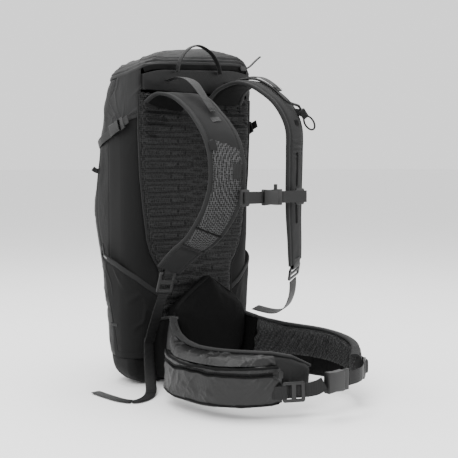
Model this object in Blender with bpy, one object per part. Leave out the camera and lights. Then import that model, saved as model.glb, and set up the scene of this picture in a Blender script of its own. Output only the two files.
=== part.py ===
"""Avalanche airbag backpack of about 24 litres, standing on its base.

Units are metres and +Z is up. The origin is under the base. The wearer stands on the -Y side with
their back against the ribbed panel, facing -Y, so their right is at -X.
"""

import math

import bmesh
import bpy
import numpy as np
from mathutils import Matrix, Vector

GAP = 0.0004                # clearance left between neighbouring pieces

# Pack body
HALF_WIDTH = 0.125
BACK_Y = -0.062             # rear edge of the side panels
BACK_CORNER = 0.014         # radius of the two rear corners
FRONT_CORNER = 0.050        # radius of the two front corners
FRONT_BULGE = 0.006         # how far the middle of the front stands out
FRONT_PROFILE = (           # height, y of the front face
    (0.000, 0.024),
    (0.110, 0.034),
    (0.200, 0.053),
    (0.285, 0.070),
    (0.370, 0.055),
    (0.440, 0.041),
    (0.487, 0.024),
    (0.530, -0.010),
)
SEAM_Y = -0.005             # vertical seam between side and front panels, where the corner leaves room
PANEL = 0.003               # shell thickness
BASE_RIM_Z = 0.046

# Lid
HINGE_Z = 0.487
HINGE_Y = 0.0245
LID_HALF_WIDTH = 0.123
LID_BACK_Y = -0.074
LID_BACK_RISE = 0.030       # the lid's rim climbs towards the back by this much
LID_LEAN = 0.050            # and leans up towards the wearer's left
LID_CORNER_DROP = 0.016
LID_CROWN_Z = 0.547
LID_SAG = 1.15              # curvature of the crown towards the wearer's right, 1/m
LID_SKIN = 0.003

# Back
PANEL_BACK_Y = -0.080       # crests of the ribs
RIB_PITCH = 0.019
RIB_DEPTH = 0.004
PANEL_FRONT_Y = -0.0630
PANEL_TOP_Z = 0.4655
PANEL_BOTTOM_Z = 0.060
BACK_HALF_WIDTHS = ((0.060, 0.072), (0.186, 0.074), (0.212, 0.090), (0.234, 0.0975), (0.286, 0.105),
                    (0.337, 0.1105), (0.400, 0.1135), (0.466, 0.1145))
YOKE_BOTTOM_Z = 0.4712
SHEET_Y = -0.0585

# Harness
STRAP_WIDTHS = {            # evenly spaced from the root to the end; the right strap flares at its root
    "right": (0.077, 0.060, 0.053, 0.053, 0.053, 0.053, 0.050, 0.045, 0.040),
    "left": (0.050, 0.0515, 0.053, 0.053, 0.053, 0.0515, 0.050, 0.045, 0.040),
}
STRAP_THICKNESS = 0.010
RIGHT_STRAP = (
    (-0.066, -0.0905, 0.449),
    (-0.063, -0.1120, 0.462),
    (-0.062, -0.1420, 0.455),
    (-0.066, -0.1880, 0.426),
    (-0.069, -0.2230, 0.391),
    (-0.071, -0.2370, 0.354),
    (-0.071, -0.2340, 0.317),
    (-0.072, -0.2160, 0.280),
    (-0.077, -0.1860, 0.244),
    (-0.083, -0.1480, 0.218),
    (-0.087, -0.1155, 0.1915),
)
LEFT_STRAP = (
    (0.048, -0.0865, 0.455),
    (0.048, -0.1050, 0.474),
    (0.049, -0.1350, 0.484),
    (0.052, -0.1600, 0.482),
    (0.056, -0.1880, 0.469),
    (0.061, -0.2170, 0.446),
    (0.066, -0.2340, 0.412),
    (0.067, -0.2350, 0.370),
    (0.067, -0.2340, 0.320),
    (0.068, -0.2330, 0.275),
    (0.072, -0.2310, 0.237),
    (0.080, -0.2240, 0.201),
)
STRAP_TWIST = {"right": (0.85, -0.50, 0.0), "left": (0.85, 0.50, 0.0)}    # width direction at the chest
STERNUM_Y = -0.2570
STERNUM_Z = 0.306
STERNUM_BUCKLE_X = 0.008
WEB = 0.0015                # webbing thickness

# Hip belt
RIGHT_WING = (
    (-0.080, -0.120),
    (-0.104, -0.150),
    (-0.117, -0.190),
    (-0.120, -0.235),
    (-0.111, -0.280),
    (-0.086, -0.317),
    (-0.050, -0.338),
    (-0.012, -0.349),
)
LEFT_WING = (
    (0.080, -0.120),
    (0.108, -0.148),
    (0.130, -0.190),
    (0.138, -0.235),
    (0.128, -0.285),
    (0.104, -0.330),
    (0.070, -0.362),
)
WING_TOP = {                # height of the top edge, evenly spaced from the root to the tip
    "right": (0.117, 0.121, 0.104, 0.097, 0.0935, 0.0935, 0.094, 0.094, 0.0925, 0.086, 0.071),
    "left": (0.106, 0.098, 0.093, 0.091, 0.090, 0.089, 0.088, 0.087, 0.085, 0.082, 0.076),
}
WING_BOTTOM = {
    "right": (0.014, 0.013, 0.012, 0.012, 0.012, 0.013, 0.014, 0.017, 0.022, 0.030, 0.039),
    "left": (0.015, 0.013, 0.012, 0.011, 0.011, 0.012, 0.013, 0.016, 0.021, 0.028, 0.036),
}
WING_THICKNESS = 0.013
WING_HINGE = (0.079, -0.1195)
BELT_ZIP_CENTRE = (-0.0247, -0.2399, 0.0660)
BELT_ZIP_RADIUS = 0.1300
BELT_ZIP_START = -113.8     # degrees, the slider's place when the pocket is closed
HIP_BUCKLE_X = 0.010
HIP_BUCKLE_Y = -0.392
HIP_BUCKLE_Z = 0.052
HIP_LOCK_LENGTH = 0.032

# Airbag system
CARTRIDGE_X = 0.072
CARTRIDGE_Y = -0.018
CARTRIDGE_RADIUS = 0.026
CARTRIDGE_BOTTOM_Z = 0.150
CARTRIDGE_TOP_Z = 0.335
INFLATOR_TOP_Z = 0.400
CABLE_RADIUS = 0.0020
TRIGGER_DIRECTION = Vector((0.50, -0.25, -0.83)).normalized()
SLEEVE_TOP = Vector((0.0885, -0.2275, 0.4400))


# ---------------------------------------------------------------- general tools

def material(name, colour, roughness, metallic=0.0):
    """A Principled material, made once and shared by name."""
    found = bpy.data.materials.get(name)
    if found:
        return found
    made = bpy.data.materials.new(name)
    made.use_nodes = True
    shader = made.node_tree.nodes["Principled BSDF"]
    shader.inputs["Base Color"].default_value = (*colour, 1.0)
    shader.inputs["Roughness"].default_value = roughness
    shader.inputs["Metallic"].default_value = metallic
    return made


def ripstop():
    return material("pack_cloth", (0.022, 0.022, 0.024), 0.62)


def hood_cloth():
    return material("hood_cloth", (0.040, 0.040, 0.043), 0.60)


def mesh_foam():
    return material("ribbed_mesh_foam", (0.016, 0.016, 0.017), 0.90)


def strap_cloth():
    return material("strap_cloth", (0.030, 0.030, 0.032), 0.80)


def webbing():
    return material("webbing", (0.015, 0.015, 0.016), 0.75)


def moulded():
    return material("moulded_plastic", (0.030, 0.030, 0.032), 0.40)


def grey_moulded():
    return material("grey_moulded_plastic", (0.110, 0.110, 0.115), 0.42)


def new_object(name, vertices, faces, finish, origin=(0.0, 0.0, 0.0), smooth_angle=35.0):
    """A closed mesh object whose own origin is at the given world point."""
    shift = Vector(origin)
    mesh = bpy.data.meshes.new(name)
    mesh.from_pydata([Vector(v) - shift for v in vertices], [], faces)
    work = bmesh.new()
    work.from_mesh(mesh)
    bmesh.ops.remove_doubles(work, verts=work.verts, dist=1e-6)
    bmesh.ops.recalc_face_normals(work, faces=work.faces)
    if work.calc_volume(signed=True) < 0:
        bmesh.ops.reverse_faces(work, faces=work.faces)
    work.to_mesh(mesh)
    work.free()
    mesh.shade_smooth()
    mesh.set_sharp_from_angle(angle=math.radians(smooth_angle))
    mesh.materials.append(finish)
    made = bpy.data.objects.new(name, mesh)
    made.location = shift
    bpy.context.collection.objects.link(made)
    return made


def smooth_path(points, count):
    """Evenly spaced points on a smooth curve through the given ones."""
    known = [Vector(p) for p in points]
    known = [known[0] * 2 - known[1]] + known + [known[-1] * 2 - known[-2]]
    dense = []
    for i in range(1, len(known) - 2):
        before, start, end, after = known[i - 1:i + 3]
        for step in range(12):
            t = step / 12
            dense.append(0.5 * (2 * start + (end - before) * t
                                + (2 * before - 5 * start + 4 * end - after) * t ** 2
                                + (3 * start - before - 3 * end + after) * t ** 3))
    dense.append(known[-2])
    lengths = [0.0]
    for a, b in zip(dense, dense[1:]):
        lengths.append(lengths[-1] + (b - a).length)
    wanted = np.linspace(0.0, lengths[-1], count)
    columns = [np.interp(wanted, lengths, [p[k] for p in dense]) for k in range(len(dense[0]))]
    return [Vector(p) for p in zip(*columns)]


def along(values, fraction):
    """A value read from a list spread evenly over 0 to 1."""
    if isinstance(values, (int, float)):
        return values
    return float(np.interp(fraction, np.linspace(0.0, 1.0, len(values)), values))


def ring_faces(start_a, start_b, count):
    """Quads between two rings of the same size."""
    return [(start_a + i, start_a + (i + 1) % count, start_b + (i + 1) % count, start_b + i)
            for i in range(count)]


def loft(name, rings, finish, origin=(0.0, 0.0, 0.0), smooth_angle=35.0):
    """A solid through rings of points, closed by a flat cap at each end."""
    count = len(rings[0])
    vertices = [point for ring in rings for point in ring]
    faces = [tuple(range(count)), tuple(range((len(rings) - 1) * count, len(rings) * count))]
    for k in range(len(rings) - 1):
        faces += ring_faces(k * count, (k + 1) * count, count)
    return new_object(name, vertices, faces, finish, origin, smooth_angle)


def cup(name, outer_rings, inner_rings, finish, origin=(0.0, 0.0, 0.0), smooth_angle=35.0):
    """A hollow with one open end: both lists of rings run from the mouth to the closed end."""
    count = len(outer_rings[0])
    inner_start = len(outer_rings) * count
    vertices = [point for ring in outer_rings + inner_rings for point in ring]
    faces = [tuple(range(inner_start - count, inner_start)),
             tuple(range(len(vertices) - count, len(vertices)))]
    for k in range(len(outer_rings) - 1):
        faces += ring_faces(k * count, (k + 1) * count, count)
    for k in range(len(inner_rings) - 1):
        faces += ring_faces(inner_start + k * count, inner_start + (k + 1) * count, count)
    faces += ring_faces(0, inner_start, count)
    return new_object(name, vertices, faces, finish, origin, smooth_angle)


def slab(name, outer, inner, finish, origin=(0.0, 0.0, 0.0)):
    """A curved plate between two grids of points of the same size."""
    rows = len(outer)
    columns = len(outer[0])
    vertices = [p for row in outer for p in row] + [p for row in inner for p in row]
    under = rows * columns
    faces = []
    for i in range(rows - 1):
        for j in range(columns - 1):
            a = i * columns + j
            quad = (a, a + 1, a + columns + 1, a + columns)
            faces.append(quad)
            faces.append(tuple(under + k for k in reversed(quad)))
    rim = list(range(columns))
    rim += [i * columns + columns - 1 for i in range(1, rows)]
    rim += [(rows - 1) * columns + j for j in range(columns - 2, -1, -1)]
    rim += [i * columns for i in range(rows - 2, 0, -1)]
    for a, b in zip(rim, rim[1:] + rim[:1]):
        faces.append((b, a, under + a, under + b))
    return new_object(name, vertices, faces, finish, origin)


def thicken(outer, thickness, centre):
    """The grid of points lying the thickness further towards the centre than the given grid."""
    rows = len(outer)
    columns = len(outer[0])
    inner = []
    for i in range(rows):
        row = []
        for j in range(columns):
            along_row = outer[i][min(j + 1, columns - 1)] - outer[i][max(j - 1, 0)]
            along_column = outer[min(i + 1, rows - 1)][j] - outer[max(i - 1, 0)][j]
            normal = along_row.cross(along_column).normalized()
            if normal.dot(outer[i][j] - centre) < 0:
                normal = -normal
            row.append(outer[i][j] - normal * thickness)
        inner.append(row)
    return inner


def strap_section(width, thickness):
    """Eight points of a flat strap's section: across the width, through the thickness."""
    bevel = 0.3 * thickness
    half = width / 2
    deep = thickness / 2
    return ((-half, -deep + bevel), (-half + bevel, -deep), (half - bevel, -deep), (half, -deep + bevel),
            (half, deep - bevel), (half - bevel, deep), (-half + bevel, deep), (-half, deep - bevel))


def strap(name, route, width, thickness, finish, across=(1, 0, 0), origin=(0.0, 0.0, 0.0), end_across=None):
    """A flat strap swept along a list of points. Its width turns from across to end_across at mid length."""
    rings = []
    for i, point in enumerate(route):
        fraction = i / (len(route) - 1)
        heading = (route[min(i + 1, len(route) - 1)] - route[max(i - 1, 0)]).normalized()
        side = Vector(across).lerp(Vector(end_across or across), min(2 * fraction, 1.0))
        side = (side - heading * side.dot(heading)).normalized()
        face = heading.cross(side)
        section = strap_section(along(width, fraction), along(thickness, fraction))
        rings.append([point + side * u + face * v for u, v in section])
    return loft(name, rings, finish, origin)


def turned(name, profile, centre, axis, finish, sides=18):
    """A round piece: profile is (radius, distance along the axis) from one end to the other."""
    turn = Vector(axis).to_track_quat("Z", "Y").to_matrix()
    rings = []
    for radius, height in profile:
        ring = []
        for k in range(sides):
            angle = 2 * math.pi * k / sides
            local = Vector((radius * math.cos(angle), radius * math.sin(angle), height))
            ring.append(Vector(centre) + turn @ local)
        rings.append(ring)
    return loft(name, rings, finish)


def prism(name, outline, low, high, place, finish, origin=(0.0, 0.0, 0.0)):
    """A flat outline in the place's X-Y plane, extruded along its Z from low to high."""
    rings = [[place @ Vector((x, y, z)) for x, y in outline] for z in (low, high)]
    return loft(name, rings, finish, origin)


def rounded_rectangle(half_x, half_y, radius, arc_points=3):
    outline = []
    for corner, (sx, sy) in enumerate(((1, 1), (-1, 1), (-1, -1), (1, -1))):
        for k in range(arc_points + 1):
            angle = math.radians(90 * corner + 90 * k / arc_points)
            outline.append((sx * (half_x - radius) + radius * math.cos(angle),
                            sy * (half_y - radius) + radius * math.sin(angle)))
    return outline


def cut_box(target, centre, size, turn=None):
    """Cuts a box out of the target."""
    bpy.ops.mesh.primitive_cube_add(size=1.0, location=centre)
    cutter = bpy.context.active_object
    cutter.name = f"cutter_{len(bpy.data.objects)}"
    cutter.scale = size
    if turn:
        cutter.rotation_euler = turn.to_euler()
    cutter.hide_render = True
    cutter.display_type = "WIRE"
    modifier = target.modifiers.new("cut", "BOOLEAN")
    modifier.operation = "DIFFERENCE"
    modifier.object = cutter


def frame_at(centre, along_x, along_y):
    """A placing matrix with the given X direction and roughly the given Y direction."""
    x = Vector(along_x).normalized()
    z = x.cross(Vector(along_y)).normalized()
    y = z.cross(x)
    turn = Matrix((x, y, z)).transposed()
    return Matrix.Translation(Vector(centre)) @ turn.to_4x4()


# ---------------------------------------------------------------- pack shell

FRONT_CURVE = smooth_path(FRONT_PROFILE, 60)


def front_y(z):
    return float(np.interp(z, [p[0] for p in FRONT_CURVE], [p[1] for p in FRONT_CURVE]))


def seam_y(z):
    """The seam runs straight down the side, and moves back where the pack is thin from front to back."""
    return min(SEAM_Y, front_y(z) - FRONT_CORNER - 0.002)


def corner_arc(centre_x, centre_y, radius, start_degrees, end_degrees, fraction):
    angle = math.radians(start_degrees + (end_degrees - start_degrees) * fraction)
    return centre_x + radius * math.cos(angle), centre_y + radius * math.sin(angle)


def wall_point(z, station):
    """A point of the shell's outline. The station runs 0 to 9 from the right rear corner round the front."""
    if station > 4.5:
        mirrored = wall_point(z, 9.0 - station)
        return Vector((-mirrored.x, mirrored.y, mirrored.z))
    front = front_y(z)
    part = int(min(station, 4.0))
    fraction = station - part
    seam = seam_y(z)
    straight_end = front - FRONT_CORNER
    if part == 0:
        x, y = corner_arc(-HALF_WIDTH + BACK_CORNER, BACK_Y + BACK_CORNER, BACK_CORNER, 270, 180, fraction)
    elif part == 1:
        x, y = -HALF_WIDTH, BACK_Y + BACK_CORNER + (seam - BACK_Y - BACK_CORNER) * fraction
    elif part == 2:
        x, y = -HALF_WIDTH, seam + (straight_end - seam) * fraction
    elif part == 3:
        x, y = corner_arc(-HALF_WIDTH + FRONT_CORNER, straight_end, FRONT_CORNER, 180, 90, fraction)
    else:
        half = HALF_WIDTH - FRONT_CORNER
        x = -half + 2 * half * fraction
        y = front + FRONT_BULGE * (1 - (x / half) ** 2)
    return Vector((x, y, z))


def lid_rim_z(x, y):
    """Height of the zip line between the body and the lid."""
    back = min(max((HINGE_Y - y) / (HINGE_Y - LID_BACK_Y), 0.0), 1.0)
    corner = min(max((abs(x) - 0.075) / 0.050, 0.0), 1.0)
    return HINGE_Z + back * (LID_BACK_RISE + LID_LEAN * x - LID_CORNER_DROP * corner ** 2)


def shell_grid(first, last, columns, rows, bottom=BASE_RIM_Z + GAP):
    """Points of the shell's outside between two stations, from the base's rim up to the zip line."""
    grid = []
    for i in range(rows):
        row = []
        for j in range(columns):
            station = first + (last - first) * j / (columns - 1)
            rim = wall_point(HINGE_Z, station)
            top = lid_rim_z(rim.x, rim.y) - 2 * GAP
            row.append(wall_point(bottom + (top - bottom) * i / (rows - 1), station))
        grid.append(row)
    return grid


def make_shell():
    centre = Vector((0.0, -0.015, 0.25))
    seam = 0.008
    for name, first, last, columns in (("side_panel_right", 0.0, 2.0 - seam, 7),
                                       ("front_panel", 2.0 + seam, 7.0 - seam, 21),
                                       ("side_panel_left", 7.0 + seam, 9.0, 7)):
        outer = shell_grid(first, last, columns, 15)
        slab(name, outer, thicken(outer, PANEL, centre), ripstop())


def base_ring(z, inset):
    """The shell's closed outline at the base's rim, drawn in by the inset and set at a height."""
    scale_x = (HALF_WIDTH - inset) / HALF_WIDTH
    middle_y = -0.018
    scale_y = 1.0 - 0.45 * inset / 0.044
    stations = np.linspace(0.0, 9.0, 37)
    ring = [wall_point(BASE_RIM_Z, s) for s in stations]
    return [Vector((p.x * scale_x, middle_y + (p.y - middle_y) * scale_y, z)) for p in ring]


def make_base():
    drop = ((0.046, 0.000), (0.030, 0.002), (0.017, 0.008), (0.007, 0.019), (0.000, 0.036))
    outer = [base_ring(z, inset) for z, inset in drop]
    inner = [base_ring(min(z + PANEL, BASE_RIM_Z), inset + PANEL) for z, inset in drop]
    cup("base_panel", outer, inner, ripstop())


def lid_ring(fraction, skin):
    """A closed outline of the lid: fraction 1 is the rim and 0 is the crown; skin draws it inwards."""
    half = LID_HALF_WIDTH - skin
    back = LID_BACK_Y + skin
    front = HINGE_Y - skin
    corners = ((-half, back, 0.020, 180), (half, back, 0.020, 270), (half, front, 0.045, 0),
               (-half, front, 0.045, 90))
    points = []
    for x, y, radius, start in corners:
        cx = x + radius if x < 0 else x - radius
        cy = y + radius if y < 0 else y - radius
        for k in range(7):
            points.append(corner_arc(cx, cy, radius, start, start + 90, k / 6))
    middle = ((back + front) / 2)
    weight = 1.0 - (1.0 - fraction ** 2.6) ** (1 / 2.6)
    ring = []
    for x, y in points:
        crown_x = x * fraction
        crown = LID_CROWN_Z - skin - LID_SAG * max(0.0, 0.05 - crown_x) ** 2
        rim = lid_rim_z(x, y)
        ring.append(Vector((crown_x, middle + (y - middle) * fraction, crown + (rim - crown) * weight)))
    return ring


def make_lid():
    levels = (1.0, 0.985, 0.95, 0.89, 0.80, 0.66, 0.45, 0.20)
    outer = [lid_ring(level, 0.0) for level in levels]
    inner = [lid_ring(level, LID_SKIN) for level in levels]
    cup("lid_flap", outer, inner, hood_cloth(), origin=(0.0, HINGE_Y, HINGE_Z))


def side_surface(y, z, stand_off):
    """A point on the right side of the pack, standing off the panel."""
    bend = front_y(z) - FRONT_CORNER
    if y <= bend:
        return Vector((-HALF_WIDTH - stand_off, y, z))
    reach = min((y - bend) / (FRONT_CORNER + stand_off), 1.0)
    angle = math.asin(reach)
    x = -HALF_WIDTH + FRONT_CORNER - (FRONT_CORNER + stand_off) * math.cos(angle)
    return Vector((x, y, z))


def mirror(points):
    """The same points on the wearer's left."""
    if isinstance(points, Vector):
        return Vector((-points.x, points.y, points.z))
    return [mirror(p) for p in points]


def sided(points, side):
    return points if side == "right" else mirror(points)


def make_hood_wing(side):
    """The hood's cloth that reaches down over the upper side of the pack."""
    outer = []
    inner = []
    for i in range(6):
        outer_row = []
        inner_row = []
        for j in range(9):
            y = BACK_Y + BACK_CORNER + 0.060 * j / 8
            low = 0.422 - 0.70 * (y - BACK_Y - BACK_CORNER)
            z = low + (0.482 - low) * i / 5
            outer_row.append(side_surface(y, z, 0.0022))
            inner_row.append(side_surface(y, z, GAP))
        outer.append(outer_row)
        inner.append(inner_row)
    slab(f"hood_wing_{side}", sided(outer, side), sided(inner, side), hood_cloth())


def make_side_pocket(side):
    """The stretch pocket: sewn flat at its bottom and edges, standing off the panel at its hem."""
    fullness = {"right": 0.008, "left": 0.018}[side]
    outer = []
    inner = []
    columns = 9
    rows = 7
    for i in range(rows):
        outer_row = []
        inner_row = []
        for j in range(columns):
            across = j / (columns - 1)
            y = -0.046 + 0.068 * across
            hem = 0.180 + 0.050 * across
            up = i / (rows - 1)
            z = 0.050 + (hem - 0.050) * up
            bulge = fullness * math.sin(math.pi * across ** 0.7) ** 0.6 * up ** 0.5
            outer_row.append(side_surface(y, z, 2 * GAP + 0.0018 + bulge))
            inner_row.append(side_surface(y, z, 2 * GAP + bulge))
        outer.append(outer_row)
        inner.append(inner_row)
    slab(f"side_pocket_{side}", sided(outer, side), sided(inner, side), ripstop())


# ---------------------------------------------------------------- back

def make_back_panel():
    """Foam with horizontal ribs that let air through."""
    ribs = (PANEL_TOP_Z - PANEL_BOTTOM_Z) / RIB_PITCH
    rows = int(ribs * 4) + 1
    levels = np.linspace(PANEL_BOTTOM_Z, PANEL_TOP_Z, rows)
    spread = (-1.0, -0.975, 0.0, 0.975, 1.0)
    outer = []
    inner = []
    heights = [h for h, _ in BACK_HALF_WIDTHS]
    widths = [w for _, w in BACK_HALF_WIDTHS]
    for z in levels:
        half = float(np.interp(z, heights, widths))
        rib = RIB_DEPTH * (0.5 - 0.5 * math.cos(2 * math.pi * (z - PANEL_BOTTOM_Z) / RIB_PITCH))
        outer_row = []
        inner_row = []
        for s in spread:
            edge = 0.0025 if abs(s) == 1.0 else 0.0
            outer_row.append(Vector((s * half, min(PANEL_BACK_Y + RIB_DEPTH - rib + edge, -0.071), z)))
            inner_row.append(Vector((s * half, PANEL_FRONT_Y, z)))
        outer.append(outer_row)
        inner.append(inner_row)
    slab("back_panel", outer, inner, mesh_foam())


def lumbar_ring(scale, y):
    """The lumbar pad's outline: a rounded rhombus standing on the belt."""
    middle_z = 0.092
    corners = ((0.0, 0.176), (0.033, 0.1545), (0.0660, 0.1310), (0.0765, 0.1020), (0.066, 0.050),
               (0.030, 0.018), (-0.030, 0.018), (-0.066, 0.050), (-0.0765, 0.1020),
               (-0.0660, 0.1310), (-0.033, 0.1545))
    closed = smooth_path([(x, z, 0.0) for x, z in corners + corners[:1]], 29)[:-1]
    return [Vector((p.x * scale, y, middle_z + (p.y - middle_z) * scale)) for p in closed]


def make_lumbar_pad():
    layers = ((0.96, PANEL_BACK_Y - GAP), (1.0, -0.0900), (1.0, -0.1070), (0.94, -0.1160), (0.70, -0.1210))
    loft("lumbar_pad", [lumbar_ring(scale, y) for scale, y in layers], mesh_foam())


def make_yoke():
    rings = []
    for y, trim in ((-0.0795, 0.003), (-0.0780, 0.0), (-0.0660, 0.0)):
        ring = []
        for k in range(9):
            x = -0.108 + trim + (0.216 - 2 * trim) * k / 8
            ring.append(Vector((x, y, lid_rim_z(x, LID_BACK_Y) - 0.010 - trim)))
        for k in range(9):
            x = 0.108 - trim - (0.216 - 2 * trim) * k / 8
            ring.append(Vector((x, y, YOKE_BOTTOM_Z + trim)))
        rings.append(ring)
    loft("yoke_panel", rings, ripstop())


def make_frame():
    sheet = rounded_rectangle(0.098, 0.203, 0.030, 4)
    place = frame_at((0.0, SHEET_Y, 0.260), (1, 0, 0), (0, 0, 1))
    prism("frame_sheet", sheet, 0.0006, 0.0022, place, material("frame_sheet", (0.05, 0.05, 0.05), 0.5))
    stay = rounded_rectangle(0.008, 0.185, 0.007, 2)
    alloy = material("stay_aluminium", (0.6, 0.6, 0.62), 0.35, 1.0)
    for side, x in (("right", -0.055), ("left", 0.045)):
        place = frame_at((x, SHEET_Y, 0.255), (1, 0, 0), (0, 0, 1))
        prism(f"frame_stay_{side}", stay, -0.0025, 0.0, place, alloy)


def make_haul_loop():
    """A webbing handle that stands up in front of the lid and swings about its two sewn ends."""
    points = ((-0.047, -0.0858, 0.5015), (-0.042, -0.0862, 0.520), (-0.027, -0.0866, 0.538),
              (-0.005, -0.0866, 0.5455), (0.020, -0.0866, 0.536), (0.035, -0.0862, 0.519),
              (0.041, -0.0858, 0.5030))
    strap("haul_loop", smooth_path(points, 19), 0.010, 0.0028, webbing(), across=(0, 1, 0),
          origin=(-0.003, -0.0858, 0.5022))


def make_lid_zip():
    """A slider that runs along the rear zip line, with two long moulded pulls."""
    body = frame_at((0.098, -0.0767, 0.5165), (1, 0, 0.035), (0, 0, 1))
    prism("lid_zip_slider", rounded_rectangle(0.0065, 0.004, 0.002, 2), -0.0017, 0.0017, body, moulded(),
          origin=body.translation)
    points = ((0.1068, -0.0777, 0.5178), (0.1140, -0.0778, 0.5220), (0.1250, -0.0778, 0.5310),
              (0.1360, -0.0778, 0.5390))
    strap("lid_zip_pull", smooth_path(points, 9), 0.0045, 0.0025, moulded(), across=(0, 1, 0),
          origin=body.translation)


# ---------------------------------------------------------------- buckles and locks

def release_buckle(name, centre, exit_way, across, width, length, thickness, play, finish, male_origin):
    """A side-release buckle. The socket is a cup open towards the exit, the plug has two legs."""
    place = frame_at(centre, exit_way, across)
    wall = 0.0015
    half_w = width / 2
    half_t = thickness / 2
    outer = []
    for x, trim in ((0.0, 0.0), (-length * 0.5, 0.001), (-length, 0.0)):
        outline = rounded_rectangle(half_w - trim, half_t, 0.0015, 1)
        outer.append([place @ Vector((x, u, v)) for u, v in outline])
    inner = []
    for x in (0.0, -length * 0.55):
        outline = rounded_rectangle(half_w - wall - 0.001, half_t - wall, 0.0008, 1)
        inner.append([place @ Vector((x, u, v)) for u, v in outline])
    cup(f"{name}_female", outer, inner, finish)
    leg = length * 0.45
    clear = 0.0009
    inside = half_w - wall - 0.001 - clear
    leg_w = 0.0028
    outline = [(leg, -half_w), (leg, half_w), (clear, half_w), (clear, inside), (-leg, inside),
               (-leg, inside - leg_w), (clear, inside - leg_w), (clear, 0.0018), (-leg, 0.0018),
               (-leg, -0.0018), (clear, -0.0018), (clear, leg_w - inside), (-leg, leg_w - inside),
               (-leg, -inside), (clear, -inside), (clear, -half_w)]
    deep = half_t - wall - play
    prism(f"{name}_male", outline, -deep, deep, place, finish, origin=male_origin)


def ladder_lock(name, centre, along_x, across, width, height, thickness, finish, origin):
    """A plate with two slots and a bar between them."""
    place = frame_at(centre, along_x, across)
    lock = prism(name, rounded_rectangle(height / 2, width / 2, 0.003, 2), -thickness / 2, thickness / 2,
                 place, finish, origin)
    turn = place.to_3x3()
    for shift in (-0.22, 0.22):
        middle = place @ Vector((shift * height, 0.0, 0.0))
        cut_box(lock, middle, (height * 0.24, width - 0.009, thickness * 3), turn)
    return lock


def make_side_buckle(side):
    sign = -1 if side == "right" else 1
    x = sign * (HALF_WIDTH + 0.0078)
    centre = (x, -0.0500, 0.4165)
    exit_way = (0.0, -0.93, 0.36)
    release_buckle(f"side_buckle_{side}", centre, exit_way, (0.0, 0.36, 0.93), 0.019, 0.026, 0.0085, 0.0012,
                   moulded(), centre)
    way = Vector(exit_way).normalized()
    start = Vector(centre) + way * 0.0125
    route = [start, start + way * 0.006, start + way * 0.012]
    strap(f"side_web_rear_{side}", route, 0.013, WEB, webbing(), across=(0.0, 0.36, 0.93), origin=centre)
    front_start = Vector(centre) - way * 0.0268
    route = []
    for k in range(7):
        y = front_start.y + 0.055 * k / 6
        route.append(side_surface(y, front_start.z - 0.020 * k / 6, 0.0042))
    strap(f"side_web_front_{side}", sided(route, side), 0.013, WEB, webbing(), across=(0.0, 0.36, 0.93))


# ---------------------------------------------------------------- harness

def make_shoulder_strap(side, points):
    strap(f"shoulder_strap_{side}", smooth_path(points, 25), STRAP_WIDTHS[side],
          (0.008, STRAP_THICKNESS, STRAP_THICKNESS, STRAP_THICKNESS, 0.007), strap_cloth(),
          end_across=STRAP_TWIST[side])


def make_load_lifter(side):
    """The webbing that pulls the strap's shoulder back to the top of the pack."""
    if side == "right":
        points = ((-0.062, -0.0812, 0.4870), (-0.061, -0.1100, 0.4900), (-0.061, -0.1400, 0.4830),
                  (-0.062, -0.1660, 0.4630), (-0.064, -0.1960, 0.4330))
    else:
        points = ((0.060, -0.0812, 0.4900), (0.060, -0.1100, 0.4925), (0.060, -0.1400, 0.4950),
                  (0.061, -0.1650, 0.4930), (0.062, -0.1900, 0.4815), (0.063, -0.2060, 0.4700))
    strap(f"load_lifter_{side}", smooth_path(points, 9), 0.017, WEB, webbing())


def make_shoulder_adjusters():
    """Ladder-locks under the straps, each tilting on its strap end, and the webbing down to the base."""
    right_end = Vector((-0.0875, -0.1145, 0.1895))
    right_way = Vector((-0.10, 0.22, -0.97)).normalized()
    ladder_lock("ladder_lock_right", right_end + right_way * 0.0185, right_way, (1, 0, 0), 0.031, 0.034,
                0.003, grey_moulded(), right_end)
    start = right_end + right_way * 0.0385
    points = (start, (-0.0955, -0.0985, 0.128), (-0.1000, -0.0910, 0.100), (-0.1040, -0.0850, 0.075))
    strap("shoulder_web_right", smooth_path(points, 9), 0.019, WEB, webbing())
    left_end = Vector((0.0815, -0.2225, 0.1965))
    left_way = Vector((0.28, 0.45, -0.85)).normalized()
    ladder_lock("ladder_lock_left", left_end + left_way * 0.0135, left_way, (1, 0.2, 0.3), 0.029, 0.024,
                0.003, grey_moulded(), left_end)
    start = left_end + left_way * 0.0300
    points = (start, (0.0980, -0.2000, 0.150), (0.1080, -0.1780, 0.124), (0.1150, -0.1500, 0.110),
              (0.1180, -0.1220, 0.107), (0.1150, -0.0900, 0.110))
    strap("shoulder_web_left", smooth_path(points, 9), 0.019, WEB, webbing(), across=(1, 0.2, 0.3))


def make_web_tail():
    """The loose end of the right webbing: down beside the pack and along the floor."""
    points = ((-0.1065, -0.0870, 0.0690), (-0.1085, -0.0905, 0.0450), (-0.1130, -0.1000, 0.0200),
              (-0.1230, -0.1160, 0.0045), (-0.1450, -0.1340, 0.0016), (-0.1680, -0.1400, 0.0016),
              (-0.1800, -0.1220, 0.0016), (-0.1830, -0.0880, 0.0016), (-0.1830, -0.0520, 0.0016))
    route = [Vector((p.x, p.y, max(p.z, 0.0016))) for p in smooth_path(points, 19)]
    strap("shoulder_web_tail", route, 0.017, WEB, webbing(), across=(0.75, -0.66, 0.0))


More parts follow.
